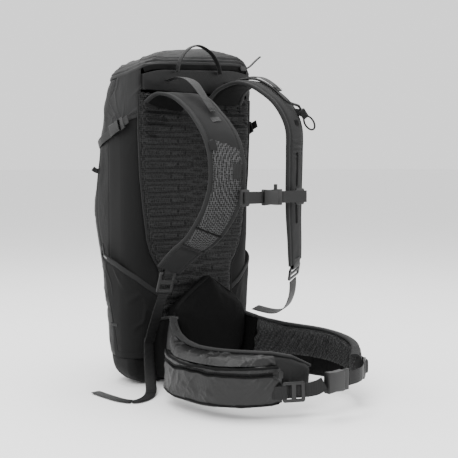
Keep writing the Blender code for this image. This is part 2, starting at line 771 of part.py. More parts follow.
def make_sternum():
    """The chest strap: two sliders, webbing and a side-release buckle, which move up and down together."""
    place = (STERNUM_BUCKLE_X, STERNUM_Y, STERNUM_Z)
    release_buckle("sternum_buckle", place, (1, 0, 0), (0, 0, 1), 0.024, 0.026, 0.0085, 0.0012, moulded(),
                   place)
    female_end = STERNUM_BUCKLE_X - 0.026
    male_end = STERNUM_BUCKLE_X + 0.0122
    right_route = [Vector((x, STERNUM_Y, STERNUM_Z)) for x in (female_end - GAP, -0.030, -0.055)]
    strap("sternum_web_right", right_route, 0.018, WEB, webbing(), across=(0, 0, 1))
    left_route = [Vector((x, STERNUM_Y, STERNUM_Z)) for x in (male_end, 0.040, 0.072)]
    strap("sternum_web_left", left_route, 0.018, WEB, webbing(), across=(0, 0, 1), origin=place)
    for side, x in (("right", -0.052), ("left", 0.060)):
        slider = frame_at((x, STERNUM_Y + 0.0031, STERNUM_Z), (1, 0, 0), (0, 0, 1))
        prism(f"sternum_slider_{side}", rounded_rectangle(0.009, 0.0125, 0.003, 2), -0.0018, 0.0018, slider,
              moulded(), origin=slider.translation)


# ---------------------------------------------------------------- hip belt

def wing_route(points, heights, count):
    """The belt's centre line at the height of each station's middle."""
    flat = smooth_path([(x, y, 0.0) for x, y in points], count)
    return [Vector((p.x, p.y, along(heights, i / (count - 1)))) for i, p in enumerate(flat)]


def make_hip_belt():
    """Two padded wings, each swinging about a soft upright hinge beside the lumbar pad."""
    for side, points in (("right", RIGHT_WING), ("left", LEFT_WING)):
        sign = -1 if side == "right" else 1
        middle = [(top + bottom) / 2 for top, bottom in zip(WING_TOP[side], WING_BOTTOM[side])]
        tall = [top - bottom for top, bottom in zip(WING_TOP[side], WING_BOTTOM[side])]
        route = wing_route(points, middle, 21)
        strap(f"hip_wing_{side}", route, tall, WING_THICKNESS, mesh_foam(), across=(0, 0, 1),
              origin=(sign * WING_HINGE[0], WING_HINGE[1], 0.060))
    pocket_points = ((-0.1220, -0.158), (-0.1350, -0.192), (-0.1390, -0.236), (-0.1300, -0.288),
                     (-0.1000, -0.329), (-0.0640, -0.350))
    route = wing_route(pocket_points, (0.050, 0.048, 0.046, 0.046, 0.048, 0.050), 15)
    strap("belt_pocket", route, (0.066, 0.068, 0.068, 0.066, 0.058), (0.005, 0.022, 0.023, 0.022, 0.005),
          ripstop(), across=(0, 0, 1), origin=(-WING_HINGE[0], WING_HINGE[1], 0.060))


def make_belt_pocket_slider():
    """It runs along the pocket's curved zip, round an upright axis inside the belt."""
    angle = math.radians(BELT_ZIP_START)
    spoke = Vector((math.cos(angle), math.sin(angle), 0.0))
    centre = Vector(BELT_ZIP_CENTRE) + spoke * BELT_ZIP_RADIUS
    place = frame_at(centre, (-spoke.y, spoke.x, 0.0), (0, 0, 1))
    prism("belt_pocket_slider", rounded_rectangle(0.0035, 0.005, 0.0015, 2), -0.0015, 0.0015, place,
          moulded(), origin=place.translation)


def make_hip_closure():
    """The hip buckle, its webbing and a ladder-lock that tilts on the end of each wing."""
    buckle = (HIP_BUCKLE_X, HIP_BUCKLE_Y, HIP_BUCKLE_Z)
    release_buckle("hip_buckle", buckle, (1, 0, 0), (0, 0, 1), 0.030, 0.030, 0.0125, 0.0030, grey_moulded(),
                   buckle)
    pivot = Vector((-0.0720, -0.3560, 0.0400))
    way = Vector((0.84, -0.54, 0.03)).normalized()
    ladder_lock("hip_ladder_lock_right", pivot + way * (HIP_LOCK_LENGTH / 2 + 0.001), way, (0, 0, 1), 0.029,
                HIP_LOCK_LENGTH, 0.003, grey_moulded(), pivot)
    start = pivot + way * (HIP_LOCK_LENGTH + 0.0045)
    end = Vector((HIP_BUCKLE_X - 0.0340, HIP_BUCKLE_Y, HIP_BUCKLE_Z))
    route = smooth_path((start, start * 0.5 + end * 0.5 + Vector((-0.001, -0.002, 0.0)), end), 7)
    strap("hip_web_right", route, 0.020, WEB, webbing(), across=(0, 0, 1))
    pivot = Vector((0.0900, -0.3640, 0.0560))
    way = Vector((-0.80, -0.60, 0.0)).normalized()
    ladder_lock("hip_ladder_lock_left", pivot + way * 0.0130, way, (0, 0, 1), 0.029, 0.024, 0.003,
                moulded(), pivot)
    start = Vector((HIP_BUCKLE_X + 0.0145, HIP_BUCKLE_Y, HIP_BUCKLE_Z))
    end = pivot + way * 0.0280
    route = smooth_path((start, (0.040, -0.3925, 0.0530), (0.055, -0.3895, 0.0545), end), 9)
    strap("hip_web_left", route, 0.020, WEB, webbing(), across=(0, 0, 1))


# ---------------------------------------------------------------- airbag system

def make_gas_parts():
    steel = material("cartridge_steel", (0.55, 0.56, 0.58), 0.30, 1.0)
    r = CARTRIDGE_RADIUS
    height = CARTRIDGE_TOP_Z - CARTRIDGE_BOTTOM_Z
    profile = ((r * 0.45, 0.0), (r * 0.85, 0.004), (r, 0.012), (r, height - 0.030),
               (r * 0.80, height - 0.016), (r * 0.42, height - 0.008), (r * 0.42, height))
    centre = (CARTRIDGE_X, CARTRIDGE_Y, CARTRIDGE_BOTTOM_Z)
    turned("gas_cartridge", profile, centre, (0, 0, 1), steel)
    band_z = CARTRIDGE_BOTTOM_Z + 0.070
    outer = []
    inner = []
    for z in (band_z, band_z + 0.020):
        for rows, radius in ((outer, r + 0.0024), (inner, r + GAP)):
            row = []
            for k in range(19):
                angle = math.radians(-100 + 380 * k / 18 * 0.92)
                row.append(Vector((CARTRIDGE_X + radius * math.cos(angle),
                                   CARTRIDGE_Y + radius * math.sin(angle), z)))
            rows.append(row)
    slab("cartridge_strap", outer, inner, webbing())
    body_z = CARTRIDGE_TOP_Z + GAP
    tall = INFLATOR_TOP_Z - body_z
    profile = ((0.014, 0.0), (0.017, 0.003), (0.017, tall * 0.45), (0.021, tall * 0.60),
               (0.021, tall - 0.003), (0.018, tall))
    alloy = material("inflator_alloy", (0.30, 0.31, 0.33), 0.40, 1.0)
    turned("inflator_body", profile, (CARTRIDGE_X, CARTRIDGE_Y, body_z), (0, 0, 1), alloy)
    profile = ((0.009, 0.0), (0.009, 0.006), (0.0075, 0.008))
    gauge_at = (CARTRIDGE_X, CARTRIDGE_Y + 0.0180, body_z + 0.013)
    turned("pressure_gauge", profile, gauge_at, (0, 1, 0), material("gauge_face", (0.7, 0.7, 0.68), 0.3), 14)


def make_trigger_lever():
    """The lever beside the inflator that the cable pulls up to pierce the cartridge's seal."""
    pivot = Vector((CARTRIDGE_X - 0.0215, CARTRIDGE_Y, CARTRIDGE_TOP_Z + 0.020))
    place = frame_at(pivot, (-1, 0, 0), (0, 0, 1))
    outline = [(0.0028 * math.cos(a), 0.0040 * math.sin(a))
               for a in np.linspace(math.pi / 2, 1.5 * math.pi, 5)]
    outline += [(0.020, -0.0025), (0.0215, 0.0), (0.020, 0.0025)]
    prism("trigger_lever", outline, -0.0025, 0.0025, place,
          material("lever_steel", (0.45, 0.45, 0.47), 0.35, 1.0), origin=pivot)


def make_trigger():
    """The handle stowed at the edge of the left strap, its sleeve, and the cable over the shoulder."""
    way = TRIGGER_DIRECTION
    across = Vector((0.64, 0.76, 0.0))
    place = frame_at(SLEEVE_TOP, way, across)
    outer = []
    inner = []
    for x in (0.014, 0.0):
        outline = rounded_rectangle(0.0085, 0.0050, 0.0020, 2)
        outer.append([place @ Vector((x, u, v)) for u, v in outline])
        outline = rounded_rectangle(0.0070, 0.0035, 0.0012, 2)
        inner.append([place @ Vector((max(x, 0.0020), u, v)) for u, v in outline])
    cup("trigger_sleeve", outer, inner, strap_cloth())
    route = []
    for k in range(17):
        angle = math.radians(200 + 320 * k / 16 - 180)
        route.append(place @ Vector((0.0240 - 0.0120 * math.cos(angle), 0.0075 * math.sin(angle), 0.0)))
    strap("trigger_handle", route, 0.0050, 0.0024, moulded(), across=place.to_3x3() @ Vector((0, 0, 1)),
          origin=SLEEVE_TOP)


def cable_route():
    """From the sleeve over the shoulder on top of the left strap, and in above the back panel."""
    points = [SLEEVE_TOP - TRIGGER_DIRECTION * 0.0008, SLEEVE_TOP - TRIGGER_DIRECTION * 0.0080]
    shoulder = smooth_path(LEFT_STRAP, 25)
    for index in (9, 7, 5, 3):
        heading = (shoulder[index + 1] - shoulder[index - 1]).normalized()
        side = Vector((1, 0, 0)).lerp(Vector(STRAP_TWIST["left"]), min(2 * index / 24, 1.0))
        face = heading.cross((side - heading * side.dot(heading)).normalized())
        lift = face if face.y < 0 or face.z > 0 else -face
        points.append(shoulder[index] + lift * (STRAP_THICKNESS / 2 + CABLE_RADIUS + 0.0016))
    points.append(Vector((0.048, -0.0960, 0.4805)))
    points.append(Vector((0.048, -0.0905, 0.4738)))
    points.append(Vector((0.048, -0.0860, 0.4694)))
    points.append(Vector((0.048, -0.0780, 0.4682)))
    points.append(Vector((0.048, -0.0560, 0.4680)))
    points.append(Vector((0.045, -0.0440, 0.4520)))
    points.append(Vector((0.0320, -0.0260, 0.4100)))
    points.append(Vector((0.0275, -0.0185, 0.3720)))
    return points


def make_trigger_cable():
    curve = bpy.data.curves.new("trigger_cable", "CURVE")
    curve.dimensions = "3D"
    curve.bevel_depth = CABLE_RADIUS
    curve.bevel_resolution = 2
    curve.use_fill_caps = True
    route = smooth_path(cable_route(), 48)
    spline = curve.splines.new("POLY")
    spline.points.add(len(route) - 1)
    for point, place in zip(spline.points, route):
        point.co = (*place, 1.0)
    curve.materials.append(webbing())
    made = bpy.data.objects.new("trigger_cable", curve)
    bpy.context.collection.objects.link(made)


def make_airbag():
    """The airbag, folded into a long block under the front of the lid."""
    rings = []
    for x, trim in ((-0.100, 0.006), (-0.096, 0.0), (0.040, 0.0), (0.044, 0.006)):
        outline = rounded_rectangle(0.016 - trim, 0.036 - trim, 0.009, 2)
        rings.append([Vector((x, 0.0125 + u, 0.424 + v)) for u, v in outline])
    loft("airbag_packed", rings, material("airbag_cloth", (0.55, 0.10, 0.03), 0.7))


def build():
    for old in list(bpy.data.objects):
        bpy.data.objects.remove(old, do_unlink=True)
    make_shell()
    make_base()
    make_lid()
    make_back_panel()
    make_lumbar_pad()
    make_yoke()
    make_frame()
    make_haul_loop()
    make_lid_zip()
    for side, points in (("right", RIGHT_STRAP), ("left", LEFT_STRAP)):
        make_hood_wing(side)
        make_side_pocket(side)
        make_side_buckle(side)
        make_shoulder_strap(side, points)
        make_load_lifter(side)
    make_shoulder_adjusters()
    make_web_tail()
    make_sternum()
    make_hip_belt()
    make_belt_pocket_slider()
    make_hip_closure()
    make_gas_parts()
    make_trigger_lever()
    make_trigger()
    make_trigger_cable()
    make_airbag()


build()
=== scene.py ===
"""Looks of an avalanche airbag backpack of about 24 litres, seen from the harness side.

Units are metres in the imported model's frame: +Z is up and the wearer stands on the -Y side.
"""

import math

import bmesh
import bpy
import numpy as np
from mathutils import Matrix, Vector, noise
from mathutils.bvhtree import BVHTree


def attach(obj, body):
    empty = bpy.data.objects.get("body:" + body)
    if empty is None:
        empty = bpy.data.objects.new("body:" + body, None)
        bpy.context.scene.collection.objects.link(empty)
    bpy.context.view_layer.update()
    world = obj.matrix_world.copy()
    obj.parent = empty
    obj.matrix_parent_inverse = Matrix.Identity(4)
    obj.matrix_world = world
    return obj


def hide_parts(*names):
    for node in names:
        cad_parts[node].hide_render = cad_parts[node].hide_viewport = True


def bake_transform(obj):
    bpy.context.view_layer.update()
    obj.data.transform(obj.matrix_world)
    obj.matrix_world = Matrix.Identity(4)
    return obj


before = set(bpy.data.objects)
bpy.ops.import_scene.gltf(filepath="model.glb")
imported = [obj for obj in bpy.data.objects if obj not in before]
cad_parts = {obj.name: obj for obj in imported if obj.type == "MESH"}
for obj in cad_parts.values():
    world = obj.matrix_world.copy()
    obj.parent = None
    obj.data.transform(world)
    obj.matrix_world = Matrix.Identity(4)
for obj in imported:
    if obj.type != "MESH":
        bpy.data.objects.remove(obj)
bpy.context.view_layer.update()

# Camera, on the wearer's side and to their right
CAMERA_PLACE = (-0.9512, -1.2905, 0.3540)
CAMERA_AZIMUTH = 40.0       # degrees from +Y towards +X
CAMERA_PITCH = 3.895        # degrees below the horizon
CAMERA_LENS = 73.886
SENSOR = 36.0

# Pack body, as in the CAD
HALF_WIDTH = 0.125
BACK_Y = -0.062
BACK_CORNER = 0.014
FRONT_CORNER = 0.050
FRONT_BULGE = 0.006
FRONT_PROFILE = ((0.000, 0.024), (0.110, 0.034), (0.200, 0.053), (0.285, 0.070), (0.370, 0.055),
                 (0.440, 0.041), (0.487, 0.024), (0.530, -0.010))
SEAM_Y = -0.005
BASE_RIM_Z = 0.046
HINGE_Z = 0.487
HINGE_Y = 0.0245
LID_BACK_Y = -0.074
LID_BACK_RISE = 0.030
LID_LEAN = 0.050
LID_CORNER_DROP = 0.016
RIB_PITCH = 0.019
RIB_DEPTH = 0.004
PANEL_BACK_Y = -0.080
PANEL_TOP_Z = 0.4655
PANEL_BOTTOM_Z = 0.060
BACK_HALF_WIDTHS = ((0.060, 0.072), (0.186, 0.074), (0.212, 0.090), (0.234, 0.0975), (0.286, 0.105),
                    (0.337, 0.1105), (0.400, 0.1135), (0.466, 0.1145))

# Harness routes, as in the CAD
STRAP_ROUTES = {
    "right": ((-0.073, -0.0850, 0.446), (-0.066, -0.1100, 0.461), (-0.062, -0.1420, 0.455),
              (-0.066, -0.1880, 0.426),
              (-0.069, -0.2230, 0.391), (-0.071, -0.2370, 0.354), (-0.071, -0.2340, 0.317),
              (-0.072, -0.2160, 0.280),
              (-0.077, -0.1860, 0.244), (-0.083, -0.1480, 0.218), (-0.087, -0.1155, 0.1915)),
    "left": ((0.048, -0.0865, 0.455), (0.048, -0.1050, 0.474), (0.049, -0.1350, 0.484),
             (0.052, -0.1600, 0.482),
             (0.056, -0.1880, 0.469), (0.061, -0.2170, 0.446), (0.066, -0.2340, 0.412),
             (0.067, -0.2350, 0.370),
             (0.067, -0.2340, 0.320), (0.068, -0.2330, 0.275), (0.072, -0.2310, 0.237),
             (0.080, -0.2240, 0.201)),
}
STRAP_TWIST = {"right": (0.85, -0.50, 0.0), "left": (0.93, 0.36, 0.0)}
STRAP_WIDTHS = {
    "right": (0.088, 0.064, 0.053, 0.053, 0.053, 0.053, 0.050, 0.045, 0.040),
    "left": (0.074, 0.058, 0.053, 0.053, 0.053, 0.0515, 0.050, 0.045, 0.040),
}
STRAP_DEPTHS = (0.008, 0.010, 0.010, 0.010, 0.007)
LIFTER_ROUTES = {
    "right": ((-0.062, -0.0812, 0.4870), (-0.061, -0.1100, 0.4900), (-0.061, -0.1400, 0.4830),
              (-0.062, -0.1660, 0.4630), (-0.064, -0.1960, 0.4330)),
    "left": ((0.060, -0.0812, 0.4900), (0.060, -0.1100, 0.4925), (0.060, -0.1400, 0.4950),
             (0.061, -0.1650, 0.4930), (0.062, -0.1900, 0.4815), (0.063, -0.2060, 0.4700)),
}
WING_ROUTES = {
    "right": ((-0.080, -0.120), (-0.104, -0.150), (-0.117, -0.190), (-0.120, -0.235), (-0.111, -0.280),
              (-0.086, -0.317), (-0.050, -0.338), (-0.012, -0.349)),
    "left": ((0.080, -0.120), (0.108, -0.148), (0.130, -0.190), (0.138, -0.235), (0.128, -0.285),
             (0.104, -0.330), (0.070, -0.362)),
}
TRIGGER_WAY = Vector((0.50, -0.25, -0.83)).normalized()
SLEEVE_TOP = Vector((0.0885, -0.2275, 0.4400))
WING_TOP = {
    "right": (0.117, 0.121, 0.104, 0.097, 0.0935, 0.0935, 0.094, 0.094, 0.0925, 0.086, 0.071),
    "left": (0.106, 0.098, 0.093, 0.091, 0.090, 0.089, 0.088, 0.087, 0.085, 0.082, 0.076),
}
WING_BOTTOM = {
    "right": (0.014, 0.013, 0.012, 0.012, 0.012, 0.013, 0.014, 0.017, 0.022, 0.030, 0.039),
    "left": (0.015, 0.013, 0.012, 0.011, 0.011, 0.012, 0.013, 0.016, 0.021, 0.028, 0.036),
}
POCKET_ROUTE = ((-0.1220, -0.158), (-0.1350, -0.192), (-0.1390, -0.236), (-0.1300, -0.288), (-0.1000, -0.329),
                (-0.0640, -0.350))
POCKET_HEIGHTS = (0.050, 0.048, 0.046, 0.046, 0.048, 0.050)
POCKET_WIDTHS = (0.066, 0.068, 0.068, 0.066, 0.058)
POCKET_DEPTHS = (0.005, 0.022, 0.023, 0.022, 0.005)

# Cloth
SKIN = 0.0016               # thickness of a cloth panel with its lining
SIMULATION_FRAMES = 20
PRESSURE = 4.0
VOXEL = 0.005


# ---------------------------------------------------------------- curves and surfaces

def smooth_path(points, count):
    """Evenly spaced points on a smooth curve through the given ones."""
    known = [Vector(p) for p in points]
    known = [known[0] * 2 - known[1]] + known + [known[-1] * 2 - known[-2]]
    dense = []
    for i in range(1, len(known) - 2):
        before, start, end, after = known[i - 1:i + 3]
        for step in range(12):
            t = step / 12
            dense.append(0.5 * (2 * start + (end - before) * t
                                + (2 * before - 5 * start + 4 * end - after) * t ** 2
                                + (3 * start - before - 3 * end + after) * t ** 3))
    dense.append(known[-2])
    lengths = [0.0]
    for a, b in zip(dense, dense[1:]):
        lengths.append(lengths[-1] + (b - a).length)
    wanted = np.linspace(0.0, lengths[-1], count)
    columns = [np.interp(wanted, lengths, [p[k] for p in dense]) for k in range(len(dense[0]))]
    return [Vector(p) for p in zip(*columns)]


def along(values, fraction):
    """A value read from a list spread evenly over 0 to 1."""
    if isinstance(values, (int, float)):
        return values
    return float(np.interp(fraction, np.linspace(0.0, 1.0, len(values)), values))


def looked_up(table, where):
    """A value between the rows of a table of (place, value)."""
    return np.interp(where, [place for place, _ in table], [value for _, value in table])


def frames(route, across, end_across=None):
    """Point, width direction and outer normal all along a route."""
    last = len(route) - 1
    line = []
    for i, point in enumerate(route):
        heading = (route[min(i + 1, last)] - route[max(i - 1, 0)]).normalized()
        side = Vector(across).lerp(Vector(end_across or across), min(2 * i / last, 1.0))
        side = (side - heading * side.dot(heading)).normalized()
        line.append((point, side, heading.cross(side)))
    return line


def shifted(line, across, out):
    """The same line moved along its width direction and its normal; either may change along it."""
    last = len(line) - 1
    return [(p + s * along(across, i / last) + n * along(out, i / last), s, n) for i,
            (p, s, n) in enumerate(line)]


def cut(line, start, end):
    """The part of a line between two fractions of it."""
    last = len(line) - 1
    return line[round(start * last):round(end * last) + 1]


FRONT_CURVE = smooth_path(FRONT_PROFILE, 60)


def front_y(z):
    return float(looked_up(FRONT_CURVE, z))


def corner_arc(centre_x, centre_y, radius, start_degrees, end_degrees, fraction):
    angle = math.radians(start_degrees + (end_degrees - start_degrees) * fraction)
    return centre_x + radius * math.cos(angle), centre_y + radius * math.sin(angle)


def wall_point(z, station):
    """A point of the pack's outline. The station runs 0 to 9 from the right rear corner round the front."""
    if station > 4.5:
        mirrored = wall_point(z, 9.0 - station)
        return Vector((-mirrored.x, mirrored.y, mirrored.z))
    front = front_y(z)
    part = int(min(station, 4.0))
    fraction = station - part
    straight_end = front - FRONT_CORNER
    seam = min(SEAM_Y, straight_end - 0.002)
    if part == 0:
        x, y = corner_arc(-HALF_WIDTH + BACK_CORNER, BACK_Y + BACK_CORNER, BACK_CORNER, 270, 180, fraction)
    elif part == 1:
        x, y = -HALF_WIDTH, BACK_Y + BACK_CORNER + (seam - BACK_Y - BACK_CORNER) * fraction
    elif part == 2:
        x, y = -HALF_WIDTH, seam + (straight_end - seam) * fraction
    elif part == 3:
        x, y = corner_arc(-HALF_WIDTH + FRONT_CORNER, straight_end, FRONT_CORNER, 180, 90, fraction)
    else:
        half = HALF_WIDTH - FRONT_CORNER
        x = -half + 2 * half * fraction
        y = front + FRONT_BULGE * (1 - (x / half) ** 2)
    return Vector((x, y, z))


def lid_rim_z(x, y):
    """Height of the zip line between the body and the lid."""
    back = min(max((HINGE_Y - y) / (HINGE_Y - LID_BACK_Y), 0.0), 1.0)
    corner = min(max((abs(x) - 0.075) / 0.050, 0.0), 1.0)
    return HINGE_Z + back * (LID_BACK_RISE + LID_LEAN * x - LID_CORNER_DROP * corner ** 2)


def side_surface(y, z, stand_off):
    """A point on the right side of the pack, standing off the panel."""
    bend = front_y(z) - FRONT_CORNER
    if y <= bend:
        return Vector((-HALF_WIDTH - stand_off, y, z))
    reach = min((y - bend) / (FRONT_CORNER + stand_off), 1.0)
    angle = math.asin(reach)
    return Vector((-HALF_WIDTH + FRONT_CORNER - (FRONT_CORNER + stand_off) * math.cos(angle), y, z))


# ---------------------------------------------------------------- noise and creases

def cloud(points, scale, seed, stretch=(1, 1, 1)):
    """Smooth noise from about -1 to 1. Scale is the size of its lumps, stretched along each axis."""
    shift = Vector((7.13 * seed, 3.71 * seed, 1.93 * seed))
    scaled = np.asarray(points, float) / (scale * np.array(stretch, float))
    return np.array([noise.noise(Vector(p) + shift) for p in scaled])


def folds(points, scale, seed, way, stretch=3.5, width=0.13):
    """Long soft creases running along a direction, 1 on the crest, that start and fade out here and there."""
    points = np.asarray(points, float)
    way = np.array(Vector(way).normalized())
    travel = (points @ way)[:, None] * way
    bent = points - travel + travel / stretch
    bent = bent + 0.25 * scale * cloud(points, scale * 1.5, seed + 5)[:, None]
    ridge = np.exp(-(cloud(bent, scale, seed) / width) ** 2)
    return ridge * stepped(cloud(points, scale * 2.2, seed + 9), -0.25, 0.35)


def line_distance(points, path):
    """Distance of each point from a chain of points."""
    points = np.asarray(points, float)
    best = np.full(len(points), 1e9)
    for a, b in zip(path, path[1:]):
        a = np.array(a, float)
        step = np.array(b, float) - a
        t = np.clip((points - a) @ step / max(step @ step, 1e-12), 0.0, 1.0)
        best = np.minimum(best, np.linalg.norm(points - a - t[:, None] * step, axis=1))
    return best


def bell(distance, width):
    return np.exp(-(np.asarray(distance) / width) ** 2)


def stepped(value, low, high):
    """0 below low, 1 above high, and smooth between them."""
    t = np.clip((np.asarray(value, float) - low) / (high - low), 0.0, 1.0)
    return t * t * (3 - 2 * t)


# ---------------------------------------------------------------- meshes

def finish_piece(piece, finish, body, replaced=(), sharp=50.0):
    """Shading and material of a piece, attached to its body, with the CAD nodes it replaces hidden. A body
    may be a blend: two names and two points; then the piece is attached to neither body and only its
    transform is baked in.
    """
    if finish is not None:
        piece.data.materials.clear()
        piece.data.materials.append(finish)
    piece.data.shade_smooth()
    piece.data.set_sharp_from_angle(angle=math.radians(sharp))
    if isinstance(body, str):
        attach(piece, body)
    else:
        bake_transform(piece)
    if replaced:
        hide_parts(*replaced)
    return piece


def mesh_object(name, vertices, faces):
    mesh = bpy.data.meshes.new(name)
    mesh.from_pydata([tuple(v) for v in vertices], [], [tuple(f) for f in faces])
    work = bmesh.new()
    work.from_mesh(mesh)
    bmesh.ops.recalc_face_normals(work, faces=work.faces)
    if work.calc_volume(signed=True) < 0:
        bmesh.ops.reverse_faces(work, faces=work.faces)
    work.to_mesh(mesh)
    work.free()
    piece = bpy.data.objects.new(name, mesh)
    bpy.context.scene.collection.objects.link(piece)
    return piece


def read(mesh, what="co"):
    values = np.empty(len(mesh.vertices) * 3, np.float32)
    if what == "co":
        mesh.vertices.foreach_get("co", values)
    else:
        mesh.vertex_normals.foreach_get("vector", values)
    return values.reshape(-1, 3).astype(float)


def write(mesh, points):
    mesh.vertices.foreach_set("co", np.asarray(points, np.float32).ravel())
    mesh.update()


def applied(piece):
    """Replaces a piece's mesh by its mesh with the modifiers applied."""
    bpy.context.view_layer.update()
    graph = bpy.context.evaluated_depsgraph_get()
    mesh = bpy.data.meshes.new_from_object(piece.evaluated_get(graph))
    piece.modifiers.clear()
    piece.data = mesh
    return piece


def cad_copy(node, name, crease=40.0):
    """A copy of a CAD node's mesh in quads, with its sharp edges marked for subdivision."""
    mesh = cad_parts[node].data.copy()
    mesh.materials.clear()
    work = bmesh.new()
    work.from_mesh(mesh)
    bmesh.ops.remove_doubles(work, verts=work.verts, dist=1e-6)
    bmesh.ops.join_triangles(work, faces=work.faces, angle_face_threshold=math.radians(25),
                             angle_shape_threshold=math.radians(60))
    layer = work.edges.layers.float.new("crease_edge")
    for edge in work.edges:
        if edge.is_manifold and edge.calc_face_angle() > math.radians(crease):
            edge[layer] = 1.0
    work.to_mesh(mesh)
    work.free()
    piece = bpy.data.objects.new(name, mesh)
    bpy.context.scene.collection.objects.link(piece)
    return piece


def subdivided(piece, target=40000):
    """Catmull-Clark, as often as keeps the piece under the target number of faces."""
    levels = 0
    while len(piece.data.polygons) * 4 ** (levels + 1) < target and levels < 5:
        levels += 1
    if levels:
        modifier = piece.modifiers.new("smooth", "SUBSURF")
        modifier.levels = levels
        modifier.render_levels = levels
        applied(piece)
    return piece


def relieved(piece, relief):
    """Moves each vertex along its normal by relief(points, normals)."""
    points = read(piece.data)
    normals = read(piece.data, "normal")
    write(piece.data, points + normals * np.asarray(relief(points, normals))[:, None])
    return piece


def outward(points, normals):
    """1 where a shell's face looks out of the pack and -1 where it looks in."""
    centre = np.array((0.0, -0.015, 0.0))
    away = points - centre
    away[:, 2] = points[:, 2] - np.clip(points[:, 2], 0.07, 0.44)
    return np.where((away * normals).sum(axis=1) > 0, 1.0, -1.0)


def inflated(piece, shrink, cap):
    """Cloth simulation: the piece swells under pressure from a slightly smaller shape, by at most the cap."""
    remesh = piece.modifiers.new("remesh", "REMESH")
    remesh.mode = "VOXEL"
    remesh.voxel_size = VOXEL
    applied(piece)
    rest = read(piece.data)
    write(piece.data, rest - read(piece.data, "normal") * shrink)
    cloth = piece.modifiers.new("cloth", "CLOTH")
    cloth.settings.use_pressure = True
    cloth.settings.uniform_pressure_force = PRESSURE
    cloth.settings.quality = 5
    cloth.settings.tension_stiffness = 8.0
    cloth.settings.compression_stiffness = 8.0
    cloth.settings.bending_stiffness = 0.2
    cloth.settings.effector_weights.gravity = 0.0
    cloth.point_cache.frame_end = SIMULATION_FRAMES
    for number in range(1, SIMULATION_FRAMES + 1):
        bpy.context.scene.frame_set(number)
    applied(piece)
    bpy.context.scene.frame_set(1)
    swollen = read(piece.data)
    move = swollen - rest
    length = np.maximum(np.linalg.norm(move, axis=1), 1e-9)
    write(piece.data, rest + move * (np.minimum(length, cap) / length)[:, None])
    return subdivided(piece, 4 * len(piece.data.polygons) + 1)


def ribbon(name, line, width, depth, columns=9, relief=None):
    """A strap of a rounded section swept along a line. Relief(s, u, top) lifts its two faces."""
    last = len(line) - 1
    spread = [math.sin(math.pi / 2 * (-1 + 2 * k / (columns - 1))) for k in range(columns)]
    vertices = []
    travelled = 0.0
    for i, (point, side, normal) in enumerate(line):
        if i:
            travelled += (point - line[i - 1][0]).length
        half = along(width, i / last) / 2
        thick = along(depth, i / last) / 2
        for top in (True, False):
            for u in (spread if top else spread[::-1]):
                height = thick * (1 - abs(u) ** 4) ** 0.5 * (0.82 + 0.18 * (1 - u * u)) + 0.0001
                if relief:
                    height += relief(travelled, u, top)
                vertices.append(point + side * (half * u) + normal * (height if top else -height))
    ring = 2 * columns
    faces = [tuple(range(ring)), tuple(range(last * ring, (last + 1) * ring))]
    for i in range(last):
        for k in range(ring):
            faces.append((i * ring + k, i * ring + (k + 1) % ring, (i + 1) * ring + (k + 1) % ring,
                          (i + 1) * ring + k))
    return mesh_object(name, vertices, faces)


def slab(name, outer, thickness, centre):
    """A closed thin sheet from a grid of points, its inner side drawn towards the centre."""
    rows = len(outer)
    columns = len(outer[0])
    grid = np.array([[tuple(p) for p in row] for row in outer])
    across = np.gradient(grid, axis=1)
    up = np.gradient(grid, axis=0)
    normal = np.cross(across, up)
    normal /= np.maximum(np.linalg.norm(normal, axis=2), 1e-12)[:, :, None]
    flip = np.where(((grid - np.array(centre)) * normal).sum(axis=2) < 0, -1.0, 1.0)
    inner = grid - normal * flip[:, :, None] * thickness
    vertices = list(grid.reshape(-1, 3)) + list(inner.reshape(-1, 3))
    under = rows * columns
    faces = []
    for i in range(rows - 1):
        for j in range(columns - 1):
            a = i * columns + j
            quad = (a, a + 1, a + columns + 1, a + columns)
            faces.append(quad)
            faces.append(tuple(under + k for k in reversed(quad)))
    rim = list(range(columns)) + [i * columns + columns - 1 for i in range(1, rows)]
    rim += [(rows - 1) * columns + j for j in range(columns - 2, -1, -1)]
    rim += [i * columns for i in range(rows - 2, 0, -1)]
    for a, b in zip(rim, rim[1:] + rim[:1]):
        faces.append((b, a, under + a, under + b))
    return mesh_object(name, vertices, faces)


def draped(piece, path, lift=0.0003):
    """Points of a path laid on a piece's surface, each with its normal."""
    mesh = piece.data
    tree = BVHTree.FromPolygons([v.co for v in mesh.vertices], [p.vertices for p in mesh.polygons])
    laid = []
    for point in path:
        place, normal, _, _ = tree.find_nearest(point)
        if normal.dot(point - place) < 0 and (point - place).length > 1e-5:
            normal = -normal
        laid.append((place + normal * lift, normal))
    return laid


SMOOTHING_ROUNDS = 12       # how often a draped line is averaged with its neighbours, so a tape lies straight


def laid_line(piece, path, lift=0.0003):
    """A line on a piece's surface, ready for a ribbon: point, width direction and normal."""
    laid = draped(piece, path, lift)
    last = len(laid) - 1
    for _ in range(SMOOTHING_ROUNDS):
        laid[1:-1] = [((before[0] + here[0] * 2 + after[0]) / 4,
                       (before[1] + here[1] * 2 + after[1]).normalized())
                      for before, here, after in zip(laid, laid[1:], laid[2:])]
    line = []
    for i, (point, normal) in enumerate(laid):
        heading = (laid[min(i + 1, last)][0] - laid[max(i - 1, 0)][0]).normalized()
        line.append((point, normal.cross(heading).normalized(), normal))
    return line


